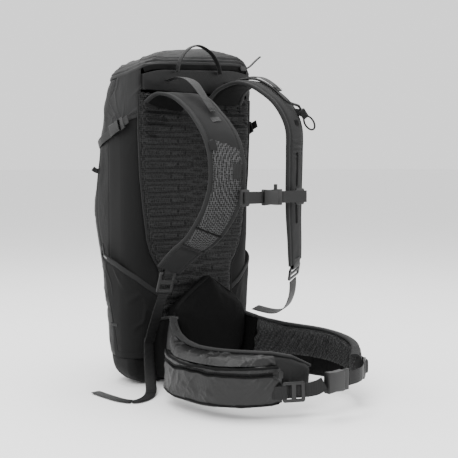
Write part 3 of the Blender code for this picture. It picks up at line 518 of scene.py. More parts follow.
def stitches(name, lines, pitch, length, width):
    """Rows of thread lying on a surface: each stitch is a short bead along its line."""
    vertices = []
    faces = []
    for line in lines:
        travelled = 0.0
        due = pitch / 2
        for (point, _, normal), (ahead, _, _) in zip(line, line[1:]):
            step = ahead - point
            span = step.length
            while due < travelled + span:
                heading = step / span
                side = heading.cross(normal).normalized()
                centre = point + heading * (due - travelled)
                base = len(vertices)
                vertices += [centre - heading * length / 2, centre + heading * length / 2]
                vertices += [centre + side * width / 2, centre + normal * width * 0.6,
                             centre - side * width / 2, centre - normal * width * 0.4]
                for k in range(4):
                    around = (base + 2 + k, base + 2 + (k + 1) % 4)
                    faces += [(base,) + around, (base + 1,) + around[::-1]]
                due += pitch
            travelled += span
    return mesh_object(name, vertices, faces)


def band(name, line, width, depth, columns, finish, body, replaced=()):
    """A finished ribbon along a line."""
    return finish_piece(ribbon(name, line, width, depth, columns), finish, body, replaced)


def thread_rows(name, lines, finish, body, bead=(0.0034, 0.0022, 0.0007)):
    """Finished rows of beads along lines. A bead is its pitch, length and width."""
    return finish_piece(stitches(name, lines, *bead), finish, body)


# ---------------------------------------------------------------- materials

def principled(name, roughness, sheen=0.0, coat=0.0, specular=0.5, metallic=0.0):
    material = bpy.data.materials.new(name)
    material.use_nodes = True
    shader = material.node_tree.nodes["Principled BSDF"]
    shader.inputs["Roughness"].default_value = roughness
    shader.inputs["Sheen Weight"].default_value = sheen
    shader.inputs["Sheen Roughness"].default_value = 0.45
    shader.inputs["Coat Weight"].default_value = coat
    shader.inputs["Specular IOR Level"].default_value = specular
    shader.inputs["Metallic"].default_value = metallic
    return material, shader


def node(material, kind, **inputs):
    made = material.node_tree.nodes.new(kind)
    for name, value in inputs.items():
        socket = made.inputs[name.replace("_", " ")]
        if isinstance(value, bpy.types.NodeSocket):
            material.node_tree.links.new(value, socket)
        else:
            socket.default_value = value
    return made


def maths(material, operation, a, b=0.0):
    made = material.node_tree.nodes.new("ShaderNodeMath")
    made.operation = operation
    for socket, value in zip(made.inputs, (a, b)):
        if isinstance(value, bpy.types.NodeSocket):
            material.node_tree.links.new(value, socket)
        else:
            socket.default_value = value
    return made.outputs[0]


def shared(material, a, share_a, b, share_b):
    """Two values added in the given shares."""
    return maths(material, "ADD", maths(material, "MULTIPLY", a, share_a),
                 maths(material, "MULTIPLY", b, share_b))


def speckle(material, place, scale, detail):
    """Cloudy noise from 0 to 1."""
    return node(material, "ShaderNodeTexNoise", Vector=place, Scale=scale, Detail=detail).outputs["Fac"]


def place_of(material):
    return material.node_tree.nodes.new("ShaderNodeTexCoord").outputs["Object"]


def threads(material, place, pitch, direction, distortion=0.0):
    """Parallel threads, 0 in the valleys and 1 on the crests."""
    wave = node(material, "ShaderNodeTexWave", Vector=place, Scale=math.pi / (10 * pitch),
                Distortion=distortion)
    wave.bands_direction = direction
    return wave.outputs["Fac"]


def weave(material, place, pitch):
    """Two crossing sets of threads, whichever way the surface faces."""
    total = maths(material, "ADD", threads(material, place, pitch, "X"), threads(material, place, pitch, "Y"))
    return maths(material, "MULTIPLY", maths(material, "ADD", total, threads(material, place, pitch, "Z")),
                 1 / 3)


def varied(material, shader, factor, dark, light):
    """Base colour between two greys by a factor."""
    ramp = node(material, "ShaderNodeMix", Factor=factor)
    ramp.data_type = "RGBA"
    ramp.inputs[6].default_value = (*dark, 1.0)
    ramp.inputs[7].default_value = (*light, 1.0)
    material.node_tree.links.new(factor, ramp.inputs[0])
    material.node_tree.links.new(ramp.outputs[2], shader.inputs["Base Color"])


def bumped(material, shader, height, strength, distance):
    bump = node(material, "ShaderNodeBump", Height=height, Strength=strength, Distance=distance)
    material.node_tree.links.new(bump.outputs["Normal"], shader.inputs["Normal"])


def grey(value, tint=0.02):
    return (value, value * (1 + tint / 2), value * (1 + tint))


def woven_cloth(name, shade, pitch=0.0011, roughness=0.7, sheen=0.03, strength=0.5, contrast=0.35,
                specular=0.15):
    """Plain woven cloth with cloudy shade changes and a fine weave."""
    material, shader = principled(name, roughness, sheen, specular=specular)
    place = place_of(material)
    lattice = weave(material, place, pitch)
    blotch = speckle(material, place, 14.0, 4.0)
    factor = shared(material, lattice, 0.6, blotch, 0.4)
    varied(material, shader, factor, grey(shade * (1 - contrast)), grey(shade * (1 + contrast)))
    bumped(material, shader, lattice, strength, 0.0003)
    return material


def ripstop_cloth(name, shade, cell=0.0055, roughness=0.55, sheen=0.0, specular=0.22, coat=0.0):
    """Thin cloth with a grid of thicker threads."""
    material, shader = principled(name, roughness, sheen, coat, specular)
    place = place_of(material)
    turn = node(material, "ShaderNodeMapping", Vector=place)
    turn.inputs["Rotation"].default_value = (0.5, 0.62, 0.4)
    lines = None
    for direction in "XYZ":
        line = maths(material, "POWER", threads(material, turn.outputs[0], cell, direction), 24.0)
        lines = line if lines is None else maths(material, "MAXIMUM", lines, line)
    fine = weave(material, place, 0.0008)
    crinkle = speckle(material, place, 90.0, 5.0)
    height = shared(material, lines, 0.8, fine, 0.4)
    height = maths(material, "ADD", height, maths(material, "MULTIPLY", crinkle, 1.2))
    blotch = speckle(material, place, 11.0, 3.0)
    factor = shared(material, lines, 0.35, blotch, 0.65)
    varied(material, shader, factor, grey(shade * 0.7), grey(shade * 1.4))
    bumped(material, shader, height, 0.35, 0.0005)
    return material


def spacer_mesh(name, dark, light, cell=0.0026, roughness=0.7, threshold=0.5):
    """Knitted mesh: pale threads round dark holes."""
    material, shader = principled(name, roughness, 0.03, specular=0.15)
    place = place_of(material)
    holes = node(material, "ShaderNodeTexVoronoi", Vector=place, Scale=1 / cell,
                 Randomness=0.25).outputs["Distance"]
    edge = node(material, "ShaderNodeMapRange", Value=holes)
    edge.inputs["From Min"].default_value = threshold - 0.18
    edge.inputs["From Max"].default_value = threshold + 0.18
    varied(material, shader, edge.outputs[0], grey(dark), grey(light))
    bumped(material, shader, edge.outputs[0], 0.8, 0.0008)
    return material


def webbing_weave(name, shade, pitch=0.0019, roughness=0.5):
    """Coarse webbing: crossing sets of thick yarns with a fine fuzz."""
    material, shader = principled(name, roughness, 0.04, specular=0.2)
    place = place_of(material)
    lattice = weave(material, place, pitch)
    fuzz = speckle(material, place, 700.0, 2.0)
    factor = shared(material, lattice, 0.75, fuzz, 0.25)
    varied(material, shader, factor, grey(shade * 0.45), grey(shade * 1.5))
    bumped(material, shader, lattice, 0.8, 0.0005)
    return material


def moulded_plastic(name, shade, roughness=0.38, specular=0.5):
    """Satin moulded plastic with a faint spark-eroded grain and small scuffs."""
    material, shader = principled(name, roughness, specular=specular)
    place = place_of(material)
    grain = speckle(material, place, 1500.0, 2.0)
    scuff = speckle(material, place, 160.0, 6.0)
    varied(material, shader, scuff, grey(shade * 0.8), grey(shade * 1.25))
    bumped(material, shader, grain, 0.15, 0.0001)
    rough = node(material, "ShaderNodeMapRange", Value=scuff)
    rough.inputs["To Min"].default_value = roughness - 0.08
    rough.inputs["To Max"].default_value = roughness + 0.12
    material.node_tree.links.new(rough.outputs[0], shader.inputs["Roughness"])
    return material


def metal(name, colour, roughness):
    material, shader = principled(name, roughness, metallic=1.0)
    place = place_of(material)
    brush = speckle(material, place, 300.0, 3.0)
    varied(material, shader, brush, tuple(c * 0.85 for c in colour), tuple(min(c * 1.1, 1.0) for c in colour))
    bumped(material, shader, brush, 0.05, 0.0001)
    return material


PACK_CLOTH = ripstop_cloth("pack_cloth", 0.005)
SIDE_CLOTH = woven_cloth("side_cloth", 0.0045, roughness=0.8)
HOOD_CLOTH = woven_cloth("hood_cloth", 0.013, pitch=0.0013, roughness=0.65, specular=0.2)
STRAP_CLOTH = woven_cloth("strap_cloth", 0.009, pitch=0.0012, roughness=0.8, sheen=0.05)
# The lumbar cloth also serves as painted shade: near-black on the shoulder straps' undersides, under their
# arch.
LUMBAR_CLOTH_AND_PAINTED_SHADE = woven_cloth("lumbar_cloth_and_painted_shade", 0.002, pitch=0.0009, roughness=0.75, sheen=0.0, specular=0.08)
POCKET_CLOTH = ripstop_cloth("pocket_cloth", 0.003, cell=0.0045, roughness=0.40, specular=0.38)
BACK_MESH = spacer_mesh("back_mesh", 0.0010, 0.021, cell=0.0029)
STRAP_MESH = spacer_mesh("strap_mesh", 0.003, 0.055, cell=0.0029)
WING_MESH = spacer_mesh("wing_mesh", 0.002, 0.045, cell=0.0019)
BINDING = woven_cloth("binding_tape", 0.011, pitch=0.0009, roughness=0.7, sheen=0.05)
DARK_BINDING = woven_cloth("dark_binding", 0.003, pitch=0.0009, roughness=0.7, sheen=0.0, specular=0.1)
WEBBING = webbing_weave("webbing", 0.007)
MOULDED = moulded_plastic("moulded", 0.005, specular=0.3)
GREY_MOULDED = moulded_plastic("grey_moulded", 0.0042, roughness=0.35, specular=0.4)
THREAD = woven_cloth("thread", 0.022, pitch=0.0005, roughness=0.7)
REFLECTIVE = woven_cloth("reflective", 0.16, pitch=0.0006, roughness=0.4, contrast=0.1)
ALUMINIUM = metal("stay_aluminium", (0.60, 0.60, 0.62), 0.35)
STEEL = metal("cartridge_steel", (0.55, 0.56, 0.58), 0.28)
INFLATOR_ALLOY = metal("inflator_alloy", (0.30, 0.31, 0.33), 0.40)
GAUGE = moulded_plastic("gauge_face", 0.65, roughness=0.15)
AIRBAG_CLOTH = ripstop_cloth("airbag_cloth", 0.05)
SHEET_PLASTIC = moulded_plastic("frame_sheet", 0.02, roughness=0.5)


# ---------------------------------------------------------------- pack body

def paint(piece, finishes, choose):
    """Gives each face the finish that choose(centres, normals) numbers."""
    piece.data.materials.clear()
    for finish in finishes:
        piece.data.materials.append(finish)
    count = len(piece.data.polygons)
    centres = np.empty(count * 3, np.float32)
    normals = np.empty(count * 3, np.float32)
    piece.data.polygons.foreach_get("center", centres)
    piece.data.polygons.foreach_get("normal", normals)
    chosen = choose(centres.reshape(-1, 3), normals.reshape(-1, 3))
    piece.data.polygons.foreach_set("material_index", np.asarray(chosen, np.int32))
    return piece


def grid_normals(grid, centre):
    normal = np.cross(np.gradient(grid, axis=1), np.gradient(grid, axis=0))
    normal /= np.maximum(np.linalg.norm(normal, axis=2), 1e-12)[:, :, None]
    flip = np.where(((grid - np.array(centre)) * normal).sum(axis=2) < 0, -1.0, 1.0)
    return normal * flip[:, :, None]


def edge_distance(grid):
    """How far each point of a grid is from the grid's border, measured along its rows and columns."""
    across = np.linalg.norm(np.diff(grid, axis=1), axis=2).cumsum(axis=1)
    across = np.pad(across, ((0, 0), (1, 0)))
    up = np.linalg.norm(np.diff(grid, axis=0), axis=2).cumsum(axis=0)
    up = np.pad(up, ((1, 0), (0, 0)))
    across = np.minimum(across, across[:, -1:] - across)
    up = np.minimum(up, up[-1:] - up)
    return np.minimum(across, up)


def panel(name, grid, relief, finish, nodes, centre, thickness=SKIN):
    """A cloth panel sewn in along its border, pushed out by relief(points, border distance)."""
    grid = np.array([[tuple(p) for p in row] for row in grid], float)
    normals = grid_normals(grid, centre)
    amount = relief(grid.reshape(-1, 3), edge_distance(grid).ravel())
    grid = grid + normals * np.asarray(amount).reshape(grid.shape[:2])[:, :, None]
    piece = slab(name, grid, thickness, centre)
    return finish_piece(piece, finish, "pack", nodes)


def wall_grid(first, last, columns, rows):
    grid = []
    for i in range(rows):
        row = []
        for j in range(columns):
            station = first + (last - first) * j / (columns - 1)
            rim = wall_point(HINGE_Z, station)
            top = lid_rim_z(rim.x, rim.y) - 0.0010
            bottom = BASE_RIM_Z + 0.0006
            row.append(wall_point(bottom + (top - bottom) * i / (rows - 1), station))
        grid.append(row)
    return grid


def back_half_width(z):
    return float(looked_up(BACK_HALF_WIDTHS, z))


WRAP_SHARE = 0.45           # share of the side panel's columns that wrap round to the back padding
WRAP_END_Y = -0.040


def plan_point(share, z):
    """A point round the wearer's-right side: share 0 is under the back padding, 1 at the side seam."""
    if share < WRAP_SHARE:
        t = share / WRAP_SHARE
        start = Vector((-back_half_width(z) + 0.0060, -0.0700, z))
        corner = Vector((-0.1225, -0.0710, z))
        end = Vector((-HALF_WIDTH, WRAP_END_Y, z))
        return start * (1 - t) ** 2 + corner * (2 * t * (1 - t)) + end * t ** 2
    t = (share - WRAP_SHARE) / (1 - WRAP_SHARE)
    seam = min(SEAM_Y, front_y(z) - FRONT_CORNER - 0.002)
    return Vector((-HALF_WIDTH, WRAP_END_Y + (seam - WRAP_END_Y) * t, z))


def side_grid(sign, columns, rows):
    """The side panel, from the edge of the back padding round the corner to the side seam."""
    grid = []
    for i in range(rows):
        row = []
        for j in range(columns):
            share = j / (columns - 1)
            place = plan_point(share, HINGE_Z)
            top = lid_rim_z(sign * abs(place.x), place.y) - 0.0012
            point = plan_point(share, BASE_RIM_Z + 0.0006 + (top - BASE_RIM_Z - 0.0006) * i / (rows - 1))
            row.append(Vector((-sign * point.x, point.y, point.z)))
        grid.append(row)
    return grid


def side_relief(points, border):
    """A taut side: slightly full, with soft pulls towards the pocket and the hood's buckle."""
    full = 0.0018 * (1 - np.exp(-border / 0.012)) - 0.0008 * bell(border, 0.0018)
    low = 1 - stepped(points[:, 2], 0.15, 0.26)
    high = stepped(points[:, 2], 0.34, 0.42)
    calm = 1 - np.exp(-border / 0.010)
    soft = 0.0008 * cloud(points, 0.050, 3, (1, 1, 1.6)) + 0.0010 * folds(points, 0.030, 5,
                                                                          (0, -0.4, 1)) * (low + high)
    return full + soft * calm * stepped(points[:, 2], 0.21, 0.27)


def front_relief(points, border):
    """The full, loosely packed front, with creases running down from the top and round the corners."""
    full = 0.0025 * (1 - np.exp(-border / 0.015)) - 0.0010 * bell(border, 0.0018)
    calm = 1 - np.exp(-border / 0.012)
    for seam in FRONT_SEAMS:
        distance = line_distance(points, seam)
        calm = calm * stepped(distance, 0.002, 0.016)
        full = full - 0.0012 * bell(distance, 0.0018)
    pulls = 0.0014 * folds(points, 0.036, 8, (0.5, 0.2, 1.0)) + 0.0012 * folds(points, 0.030, 18,
                                                                               (-0.6, 0.2, 0.8))
    fine = 0.0006 * folds(points, 0.014, 28, (1.0, 0.3, 0.35))
    lumps = 0.0030 * cloud(points, 0.085, 2)
    return full + (pulls + fine + lumps - 0.0010) * calm


def wall_line(stations, heights, count=60):
    """A line over the pack's wall, through stations and heights spaced evenly along it."""
    return [wall_point(along(heights, k / (count - 1)),
                       along(stations, k / (count - 1))) for k in range(count)]


FRONT_ZIP = wall_line((3.10, 3.12, 3.20, 3.55, 4.50, 5.45, 5.80, 5.88, 5.90),
                      (0.20, 0.30, 0.375, 0.410, 0.418, 0.410, 0.375, 0.30, 0.20), 120)
FRONT_SEAMS = (FRONT_ZIP, wall_line((2.1, 4.5, 6.9), (0.125, 0.118, 0.125)))


AXIS = (0.0, -0.015, 0.27)
for side, sign in (("right", -1), ("left", 1)):
    panel(f"side_cloth_{side}", side_grid(sign, 80, 200), side_relief, SIDE_CLOTH,
          [f"side_panel_{side}"], AXIS)
front = panel("front_cloth", wall_grid(2.0, 7.0, 190, 200), front_relief, PACK_CLOTH,
              ["front_panel"], AXIS)


def soft_copy(cad, name, relief, finish, body="pack", target=40000, crease=40.0):
    """A CAD panel in smooth quads, moved along its normals by relief(points, normals)."""
    piece = subdivided(cad_copy(cad, name, crease), target)
    if relief:
        relieved(piece, relief)
    return finish_piece(piece, finish, body, [cad])


def shell_relief(amount):
    """Relief that moves the outer and the inner side of a thin shell the same way."""
    return lambda points, normals: amount(points) * outward(points, normals)


tape = laid_line(front, FRONT_ZIP, 0.0003)
band("front_zip_tape", tape, 0.0100, 0.0012, 9, DARK_BINDING, "pack")
thread_rows("front_zip_teeth", [shifted(tape, 0.0, 0.0008)], MOULDED, "pack",
            (0.0018, 0.0011, 0.0034))
thread_rows("front_zip_stitching", [shifted(tape, sign * 0.0042, 0.0008) for sign in (-1, 1)], THREAD,
            "pack")
band("front_zip_slider", cut(shifted(tape, 0.0, 0.0022), 0.010, 0.024), 0.0075, 0.0030, 9, MOULDED, "pack")
for sign, name in ((-1, "right"), (1, "left")):
    loop = [wall_point(z, 4.5 + sign * 0.62) + Vector((0, 0.0018 + bulge, 0))
            for z, bulge in ((0.066, 0.0), (0.074, 0.004), (0.090, 0.006), (0.106, 0.004), (0.114, 0.0))]
    band(f"tool_loop_{name}", frames(smooth_path(loop, 30), (1, 0, 0)), 0.0130, 0.0018, 9, WEBBING, "pack")


def base_folds(points):
    low = 1 - stepped(points[:, 2], 0.030, 0.044)
    high = stepped(points[:, 2], 0.004, 0.014)
    return (0.0012 * cloud(points, 0.035, 4) + 0.0010 * folds(points, 0.022, 6, (0.2, 0.2, 1.0))) * low * high


soft_copy("base_panel", "base_cloth", shell_relief(base_folds), SIDE_CLOTH)


def above_rim(points):
    return points[:, 2] - np.array([lid_rim_z(x, y) for x, y, _ in points])


CROWN_SEAMS = (
    ((-0.118, 0.006, 0.489), (-0.112, -0.012, 0.500), (-0.098, -0.028, 0.514), (-0.080, -0.036, 0.526),
     (-0.050, -0.040, 0.537), (0.000, -0.042, 0.545), (0.050, -0.040, 0.547), (0.085, -0.034, 0.540),
     (0.110, -0.014, 0.516), (0.118, 0.004, 0.492)),
    ((-0.119, -0.030, 0.496), (-0.108, -0.046, 0.508), (-0.085, -0.058, 0.518), (-0.055, -0.062, 0.528)),
)


def lid_folds(points):
    rise = above_rim(points)
    seams = bell(rise - 0.0055, 0.0010) + bell(rise - 0.0115, 0.0010)
    for seam in CROWN_SEAMS:
        seams = np.maximum(seams, bell(line_distance(points, smooth_path(seam, 40)), 0.0012))
    calm = stepped(rise, 0.001, 0.012)
    near = 1 - stepped(points[:, 0], -0.09, 0.02)
    pulls = 0.0018 * folds(points, 0.028, 11, (0.5, 1.0, 0.4)) * (0.4 + 0.8 * near)
    pulls += 0.0011 * folds(points, 0.018, 12, (1.0, -0.5, 0.6))
    lumps = 0.0024 * cloud(points, 0.060, 13)
    return 0.0008 - 0.0016 * seams + (pulls + lumps) * calm


soft_copy("lid_flap", "lid_cloth", shell_relief(lid_folds), HOOD_CLOTH, "lid", 90000)


HOOD_EDGE = ((-0.075, 0.431), (-0.045, 0.416), (-0.027, 0.4035), (0.030, 0.388), (0.060, 0.384))
HOOD_SEAM = ((-0.032, 0.490), (-0.024, 0.471), (-0.010, 0.456), (-0.002, 0.430), (0.002, 0.392))
HOOD_LIFT = 0.0026          # the hood's skirt lies over the side panel and stands off it by this much
HOOD_END = 2.45             # the wall station where the skirt ends, round the front corner
BUCKLE_PLACE = (-0.047, 0.418)


def hood_edge_z(y):
    return float(looked_up(HOOD_EDGE, y))


def hood_grid(sign, columns, rows):
    """The hood's skirt: from the back padding round the side to the front corner, below the lid's rim."""
    grid = []
    for i in range(rows):
        row = []
        for j in range(columns):
            share = 1.35 * j / (columns - 1)
            station = 2.0 + (HOOD_END - 2.0) * (share - 1.0) / 0.35
            spot = (lambda z: plan_point(share, z)) if share < 1.0 else (lambda z: wall_point(z, station))
            place = spot(0.45)
            top = lid_rim_z(sign * abs(place.x), place.y) - 0.0008
            bottom = hood_edge_z(place.y)
            point = spot(bottom + (top - bottom) * i / (rows - 1))
            row.append(Vector((sign * abs(point.x), point.y, point.z)))
        grid.append(row)
    return grid


def hood_wing_folds(points, border):
    """Creases that fan out from the buckle, a seam down the corner, and a stitched hem."""
    away = points[:, 1:] - np.array(BUCKLE_PLACE)
    angle = np.arctan2(away[:, 1], away[:, 0])
    reach = np.hypot(away[:, 0], away[:, 1])
    spokes = np.exp(-(cloud(np.stack((angle * 0.05, angle * 0, reach * 0.2), axis=1), 0.012, 15) / 0.16) ** 2)
    fan = spokes * stepped(reach, 0.008, 0.020) * (1 - stepped(reach, 0.040, 0.075))
    flat = np.stack((points[:, 1] * 0, points[:, 1], points[:, 2]), axis=1)
    seam = bell(line_distance(flat, [Vector((0, y, z)) for y, z in HOOD_SEAM]), 0.0013)
    hem = points[:, 2] - looked_up(HOOD_EDGE, points[:, 1])
    stitched = bell(hem - 0.0070, 0.0008)
    calm = stepped(hem, 0.0, 0.012)
    soft = 0.0014 * cloud(points, 0.030, 17) + 0.0012 * folds(points, 0.018, 16, (0.2, -0.6, 1.0))
    return HOOD_LIFT + (soft + 0.0014 * fan) * calm - 0.0012 * seam - 0.0006 * stitched + 0.0003 * (1 - calm)


for side, sign in (("right", -1), ("left", 1)):
    panel(f"hood_wing_cloth_{side}", hood_grid(sign, 120, 90), hood_wing_folds, HOOD_CLOTH,
          [f"hood_wing_{side}"], AXIS, 0.0012)


# ---------------------------------------------------------------- side pockets

POCKET_TOP = ((0.0, 0.148), (0.22, 0.178), (0.45, 0.200), (1.0, 0.212), (1.35, 0.228))    # share, hem height
POCKET_LIFT = 0.0030
POCKET_FULLNESS = {"right": 0.0080, "left": 0.0180}
POCKET_END = 2.40


def pocket_spot(share, z):
    """A point on the wall under the side pocket: shares over 1 run on round the front corner."""
    if share < 1.0:
        return plan_point(share, z)
    return wall_point(z, 2.0 + (POCKET_END - 2.0) * (share - 1.0) / 0.35)


def pocket_bulge(y, height, side):
    along_hem = min(max((y + 0.062) / 0.084, 0.0), 1.0)
    return POCKET_LIFT + POCKET_FULLNESS[side] * math.sin(math.pi * along_hem) * height ** 1.3


def pocket_grid(side, sign, columns, rows):
    """The side pocket: a stretch panel from the back padding to the front corner, full at its slanted hem."""
    grid = []
    for i in range(rows):
        height = i / (rows - 1)
        row = []
        for j in range(columns):
            share = 1.35 * j / (columns - 1)
            low = BASE_RIM_Z + 0.0006
            top = looked_up(POCKET_TOP, share)
            point = pocket_spot(share, low + (top - low) * height)
            out = Vector((point.x, point.y + 0.015, 0)).normalized() if share > 1.0 else Vector((-1, 0, 0))
            if share < WRAP_SHARE:
                out = Vector((-1, -1.6 * (1 - share / WRAP_SHARE), 0)).normalized()
            point = point + out * pocket_bulge(point.y, height, side)
            row.append(Vector((-sign * point.x, point.y, point.z)))
        grid.append(row)
    return grid


def pocket_folds(points, border):
    slack = 0.0018 * folds(points, 0.022, 22, (0, 0.7, 1.0)) + 0.0012 * cloud(points, 0.040, 23)
    return slack * stepped(border, 0.006, 0.026) - 0.0007 * bell(border - 0.0105, 0.001)


for side, sign in (("right", -1), ("left", 1)):
    grid = pocket_grid(side, sign, 110, 110)
    pocket = panel(f"side_pocket_cloth_{side}", grid, pocket_folds, SIDE_CLOTH,
                   [f"side_pocket_{side}"], AXIS, 0.0012)
    if side == "right":
        pocket_right = pocket
    hem = grid[-1][2:-1]
    line = laid_line(pocket, [p - Vector((0, 0, 0.0040)) for p in hem], 0.0004)
    band(f"pocket_hem_{side}", line, 0.0075, 0.0016, 7, BINDING, "pack")
    mark = cut(shifted(line, 0.0, 0.0010), 0.62, 0.74)
    band(f"reflective_tab_{side}", mark, 0.0022, 0.0005, 5, REFLECTIVE, "pack")


# ---------------------------------------------------------------- back

def back_point(x, z):
    """The ribbed foam under its mesh: ribs stand proud near the edges, and dimples sit between them."""
    half = back_half_width(z)
    edge = abs(x) / half
    rib = 0.5 - 0.5 * math.cos(2 * math.pi * (z - PANEL_BOTTOM_Z) / RIB_PITCH)
    strength = 0.55 + 0.6 * min(abs(edge - 0.08), 0.7)
    inset = (1 - edge) * half
    depth = RIB_DEPTH * rib ** 0.8 * strength * (1 - math.exp(-(inset / 0.004) ** 2))
    centre = 0.0012 * math.exp(-(x / 0.012) ** 2)
    bound = 0.0030 * math.exp(-(inset / 0.006) ** 2)
    row = round((z - PANEL_BOTTOM_Z) / RIB_PITCH - 0.5)
    row_z = PANEL_BOTTOM_Z + (row + 0.5) * RIB_PITCH
    column_x = (round(x / 0.028 - 0.5 * (row % 2)) + 0.5 * (row % 2)) * 0.028
    dimple = 0.0022 * math.exp(-(((x - column_x) / 0.0022) ** 2 + ((z - row_z) / 0.0022) ** 2))
    y = PANEL_BACK_Y + RIB_DEPTH - depth + centre + bound + dimple - 0.0004
    return Vector((x, min(y, -0.0708), z))


BACK_COLUMNS = 150
BACK_ROWS = 300
grid = []
for i in range(BACK_ROWS):
    z = PANEL_BOTTOM_Z + (PANEL_TOP_Z - PANEL_BOTTOM_Z) * i / (BACK_ROWS - 1)
    half = back_half_width(z)
    grid.append([back_point(-half + 2 * half * j / (BACK_COLUMNS - 1), z) for j in range(BACK_COLUMNS)])
back = slab("back_padding", grid, 0.0065, (0.0, 0.0, 0.27))
finish_piece(back, BACK_MESH, "pack", ["back_panel"])
for side, sign in (("right", -1), ("left", 1)):
    edge = []
    for k in range(70):
        z = PANEL_BOTTOM_Z + 0.002 + (PANEL_TOP_Z - PANEL_BOTTOM_Z - 0.004) * k / 69
        edge.append(Vector((sign * (back_half_width(z) - 0.0006), -0.0712, z)))
    band(f"back_binding_{side}", frames(edge, (sign * 0.5, -0.85, 0)), 0.0080, 0.0026, 9, BINDING, "pack")


def yoke_folds(points, normals):
    return 0.0004 + 0.0006 * cloud(points, 0.02, 31, (2.0, 1, 1)) * np.abs(normals[:, 1])


soft_copy("yoke_panel", "yoke_cloth", yoke_folds, PACK_CLOTH, target=16000)


def lumbar_outline(scale, y):
    corners = ((0.0, 0.176), (0.033, 0.1545), (0.0660, 0.1310), (0.0765, 0.1020), (0.066, 0.050),
               (0.030, 0.018),
               (-0.030, 0.018), (-0.066, 0.050), (-0.0765, 0.1020), (-0.0660, 0.1310), (-0.033, 0.1545))
    closed = smooth_path([(x, z, 0.0) for x, z in corners + corners[:1]], 97)
    return [Vector((p.x * scale, y, 0.092 + (p.y - 0.092) * scale)) for p in closed]


lumbar = inflated(cad_copy("lumbar_pad", "lumbar_padding"), 0.0012, 0.006)


def lumbar_folds(points, normals):
    rear = -normals[:, 1]
    seam = bell(line_distance(points, lumbar_outline(0.90, -0.1175)), 0.0022) * stepped(rear, 0.2, 0.6)
    crease = folds(points, 0.030, 33, (0.35, 0, 1.0), 5.0) * stepped(rear, 0.5, 0.9)
    return 0.0007 * crease - 0.0014 * seam


relieved(lumbar, lumbar_folds)
finish_piece(lumbar, LUMBAR_CLOTH_AND_PAINTED_SHADE, "pack", ["lumbar_pad"])
rim = laid_line(lumbar, lumbar_outline(1.02, -0.1060), 0.0002)
band("lumbar_binding", rim, 0.0070, 0.0026, 9, DARK_BINDING, "pack")


# ---------------------------------------------------------------- shoulder straps

def strap_faces(piece, line, columns, finishes, choose):
    """Gives a ribbon's faces finishes by fraction along it, place across it, and side."""
    ring = 2 * columns
    last = len(line) - 1
    chosen = [0, 0]
    for i in range(last):
        for k in range(ring):
            top = k < columns
            step = k if top else 2 * columns - 1 - k
            share = min(step + (0.5 if top else -0.5), columns - 1) / (columns - 1)
            u = math.sin(math.pi / 2 * (-1 + 2 * share))
            chosen.append(choose((i + 0.5) / last, u, top))
    piece.data.materials.clear()
    for finish in finishes:
        piece.data.materials.append(finish)
    piece.data.polygons.foreach_set("material_index", np.array(chosen, np.int32))


STRAP_COLUMNS = 25
STRAP_STATIONS = 170
MESH_START = 0.420          # where the near strap's plain facing gives way to mesh, along the strap
MESH_SLANT = 0.035
MESH_END = 0.845


# Painted shade: the underside of the near strap's arch at the yoke gets the near-black lumbar cloth instead
# of mesh.
def near_mesh_and_painted_shade(fraction, u, top):
    if not top:
        return 2 if fraction < 0.22 else 1
    return 1 if MESH_START + MESH_SLANT * u < fraction < MESH_END - 0.01 * u else 0


# Painted shade: the whole underside of the far strap gets the near-black lumbar cloth.
def far_cloth_and_painted_shade(fraction, u, top):
    return 0 if top else 2


def strap_relief(side, length):
    """Foam crown, a stitched line beside each binding, and small buckles where the strap bends."""
    def relief(s, u, top):
        edge = -0.0012 * math.exp(-((abs(u) - 0.80) / 0.05) ** 2)
        fold = 0.0
        fraction = s / length
        if top and side == "left":
            bend = math.exp(-((fraction - 0.55) / 0.035) ** 2)
            fold = 0.0016 * bend * math.sin(fraction * 2 * math.pi / 0.020) * (1 - u * u)
        ripple = 0.0006 * noise.noise(Vector((s / 0.018, u * 1.2, 3.0 if top else 9.0)))
        end = -0.0016 * math.exp(-((fraction - 0.86) / 0.006) ** 2) if side == "right" else 0.0
        return edge + fold + ripple + end
    return relief


def route_length(route):
    return sum((b - a).length for a, b in zip(route, route[1:]))


STRAP_LINES = {}
for side in ("right", "left"):
    route = smooth_path(STRAP_ROUTES[side], STRAP_STATIONS)
    line = frames(route, (1, 0, 0), STRAP_TWIST[side])
    STRAP_LINES[side] = line
    piece = ribbon(f"shoulder_padding_{side}", line, STRAP_WIDTHS[side], STRAP_DEPTHS, STRAP_COLUMNS,
                   strap_relief(side, route_length(route)))
    finish_piece(piece, None, "pack", [f"shoulder_strap_{side}"], 60.0)
    strap_faces(piece, line, STRAP_COLUMNS, [STRAP_CLOTH, STRAP_MESH, LUMBAR_CLOTH_AND_PAINTED_SHADE],
                near_mesh_and_painted_shade if side == "right" else far_cloth_and_painted_shade)
    half = [w / 2 - 0.0026 for w in STRAP_WIDTHS[side]]
    edges = []
    for sign in (-1, 1):
        edge = shifted(line, [sign * h for h in half], 0.0)
        name = "inner" if sign == (1 if side == "right" else -1) else "outer"
        band(f"strap_binding_{side}_{name}", edge, 0.0075, [deep * 0.62 for deep in STRAP_DEPTHS], 11,
             BINDING, "pack")
        edges.append(shifted(line, [sign * (h - 0.0022) for h in half],
                             [deep * 0.36 for deep in STRAP_DEPTHS]))
    thread_rows(f"strap_stitching_{side}", edges, THREAD, "pack")


def bar_tack(name, line, width, body, rows=5):
    """A block of dense zigzag stitching across a webbing."""
    lines = [shifted(line, width * (-0.5 + k / (rows - 1)), 0.0) for k in range(rows)]
    piece = stitches(name, lines, 0.0011, 0.0013, 0.0008)
    return finish_piece(piece, THREAD, body)


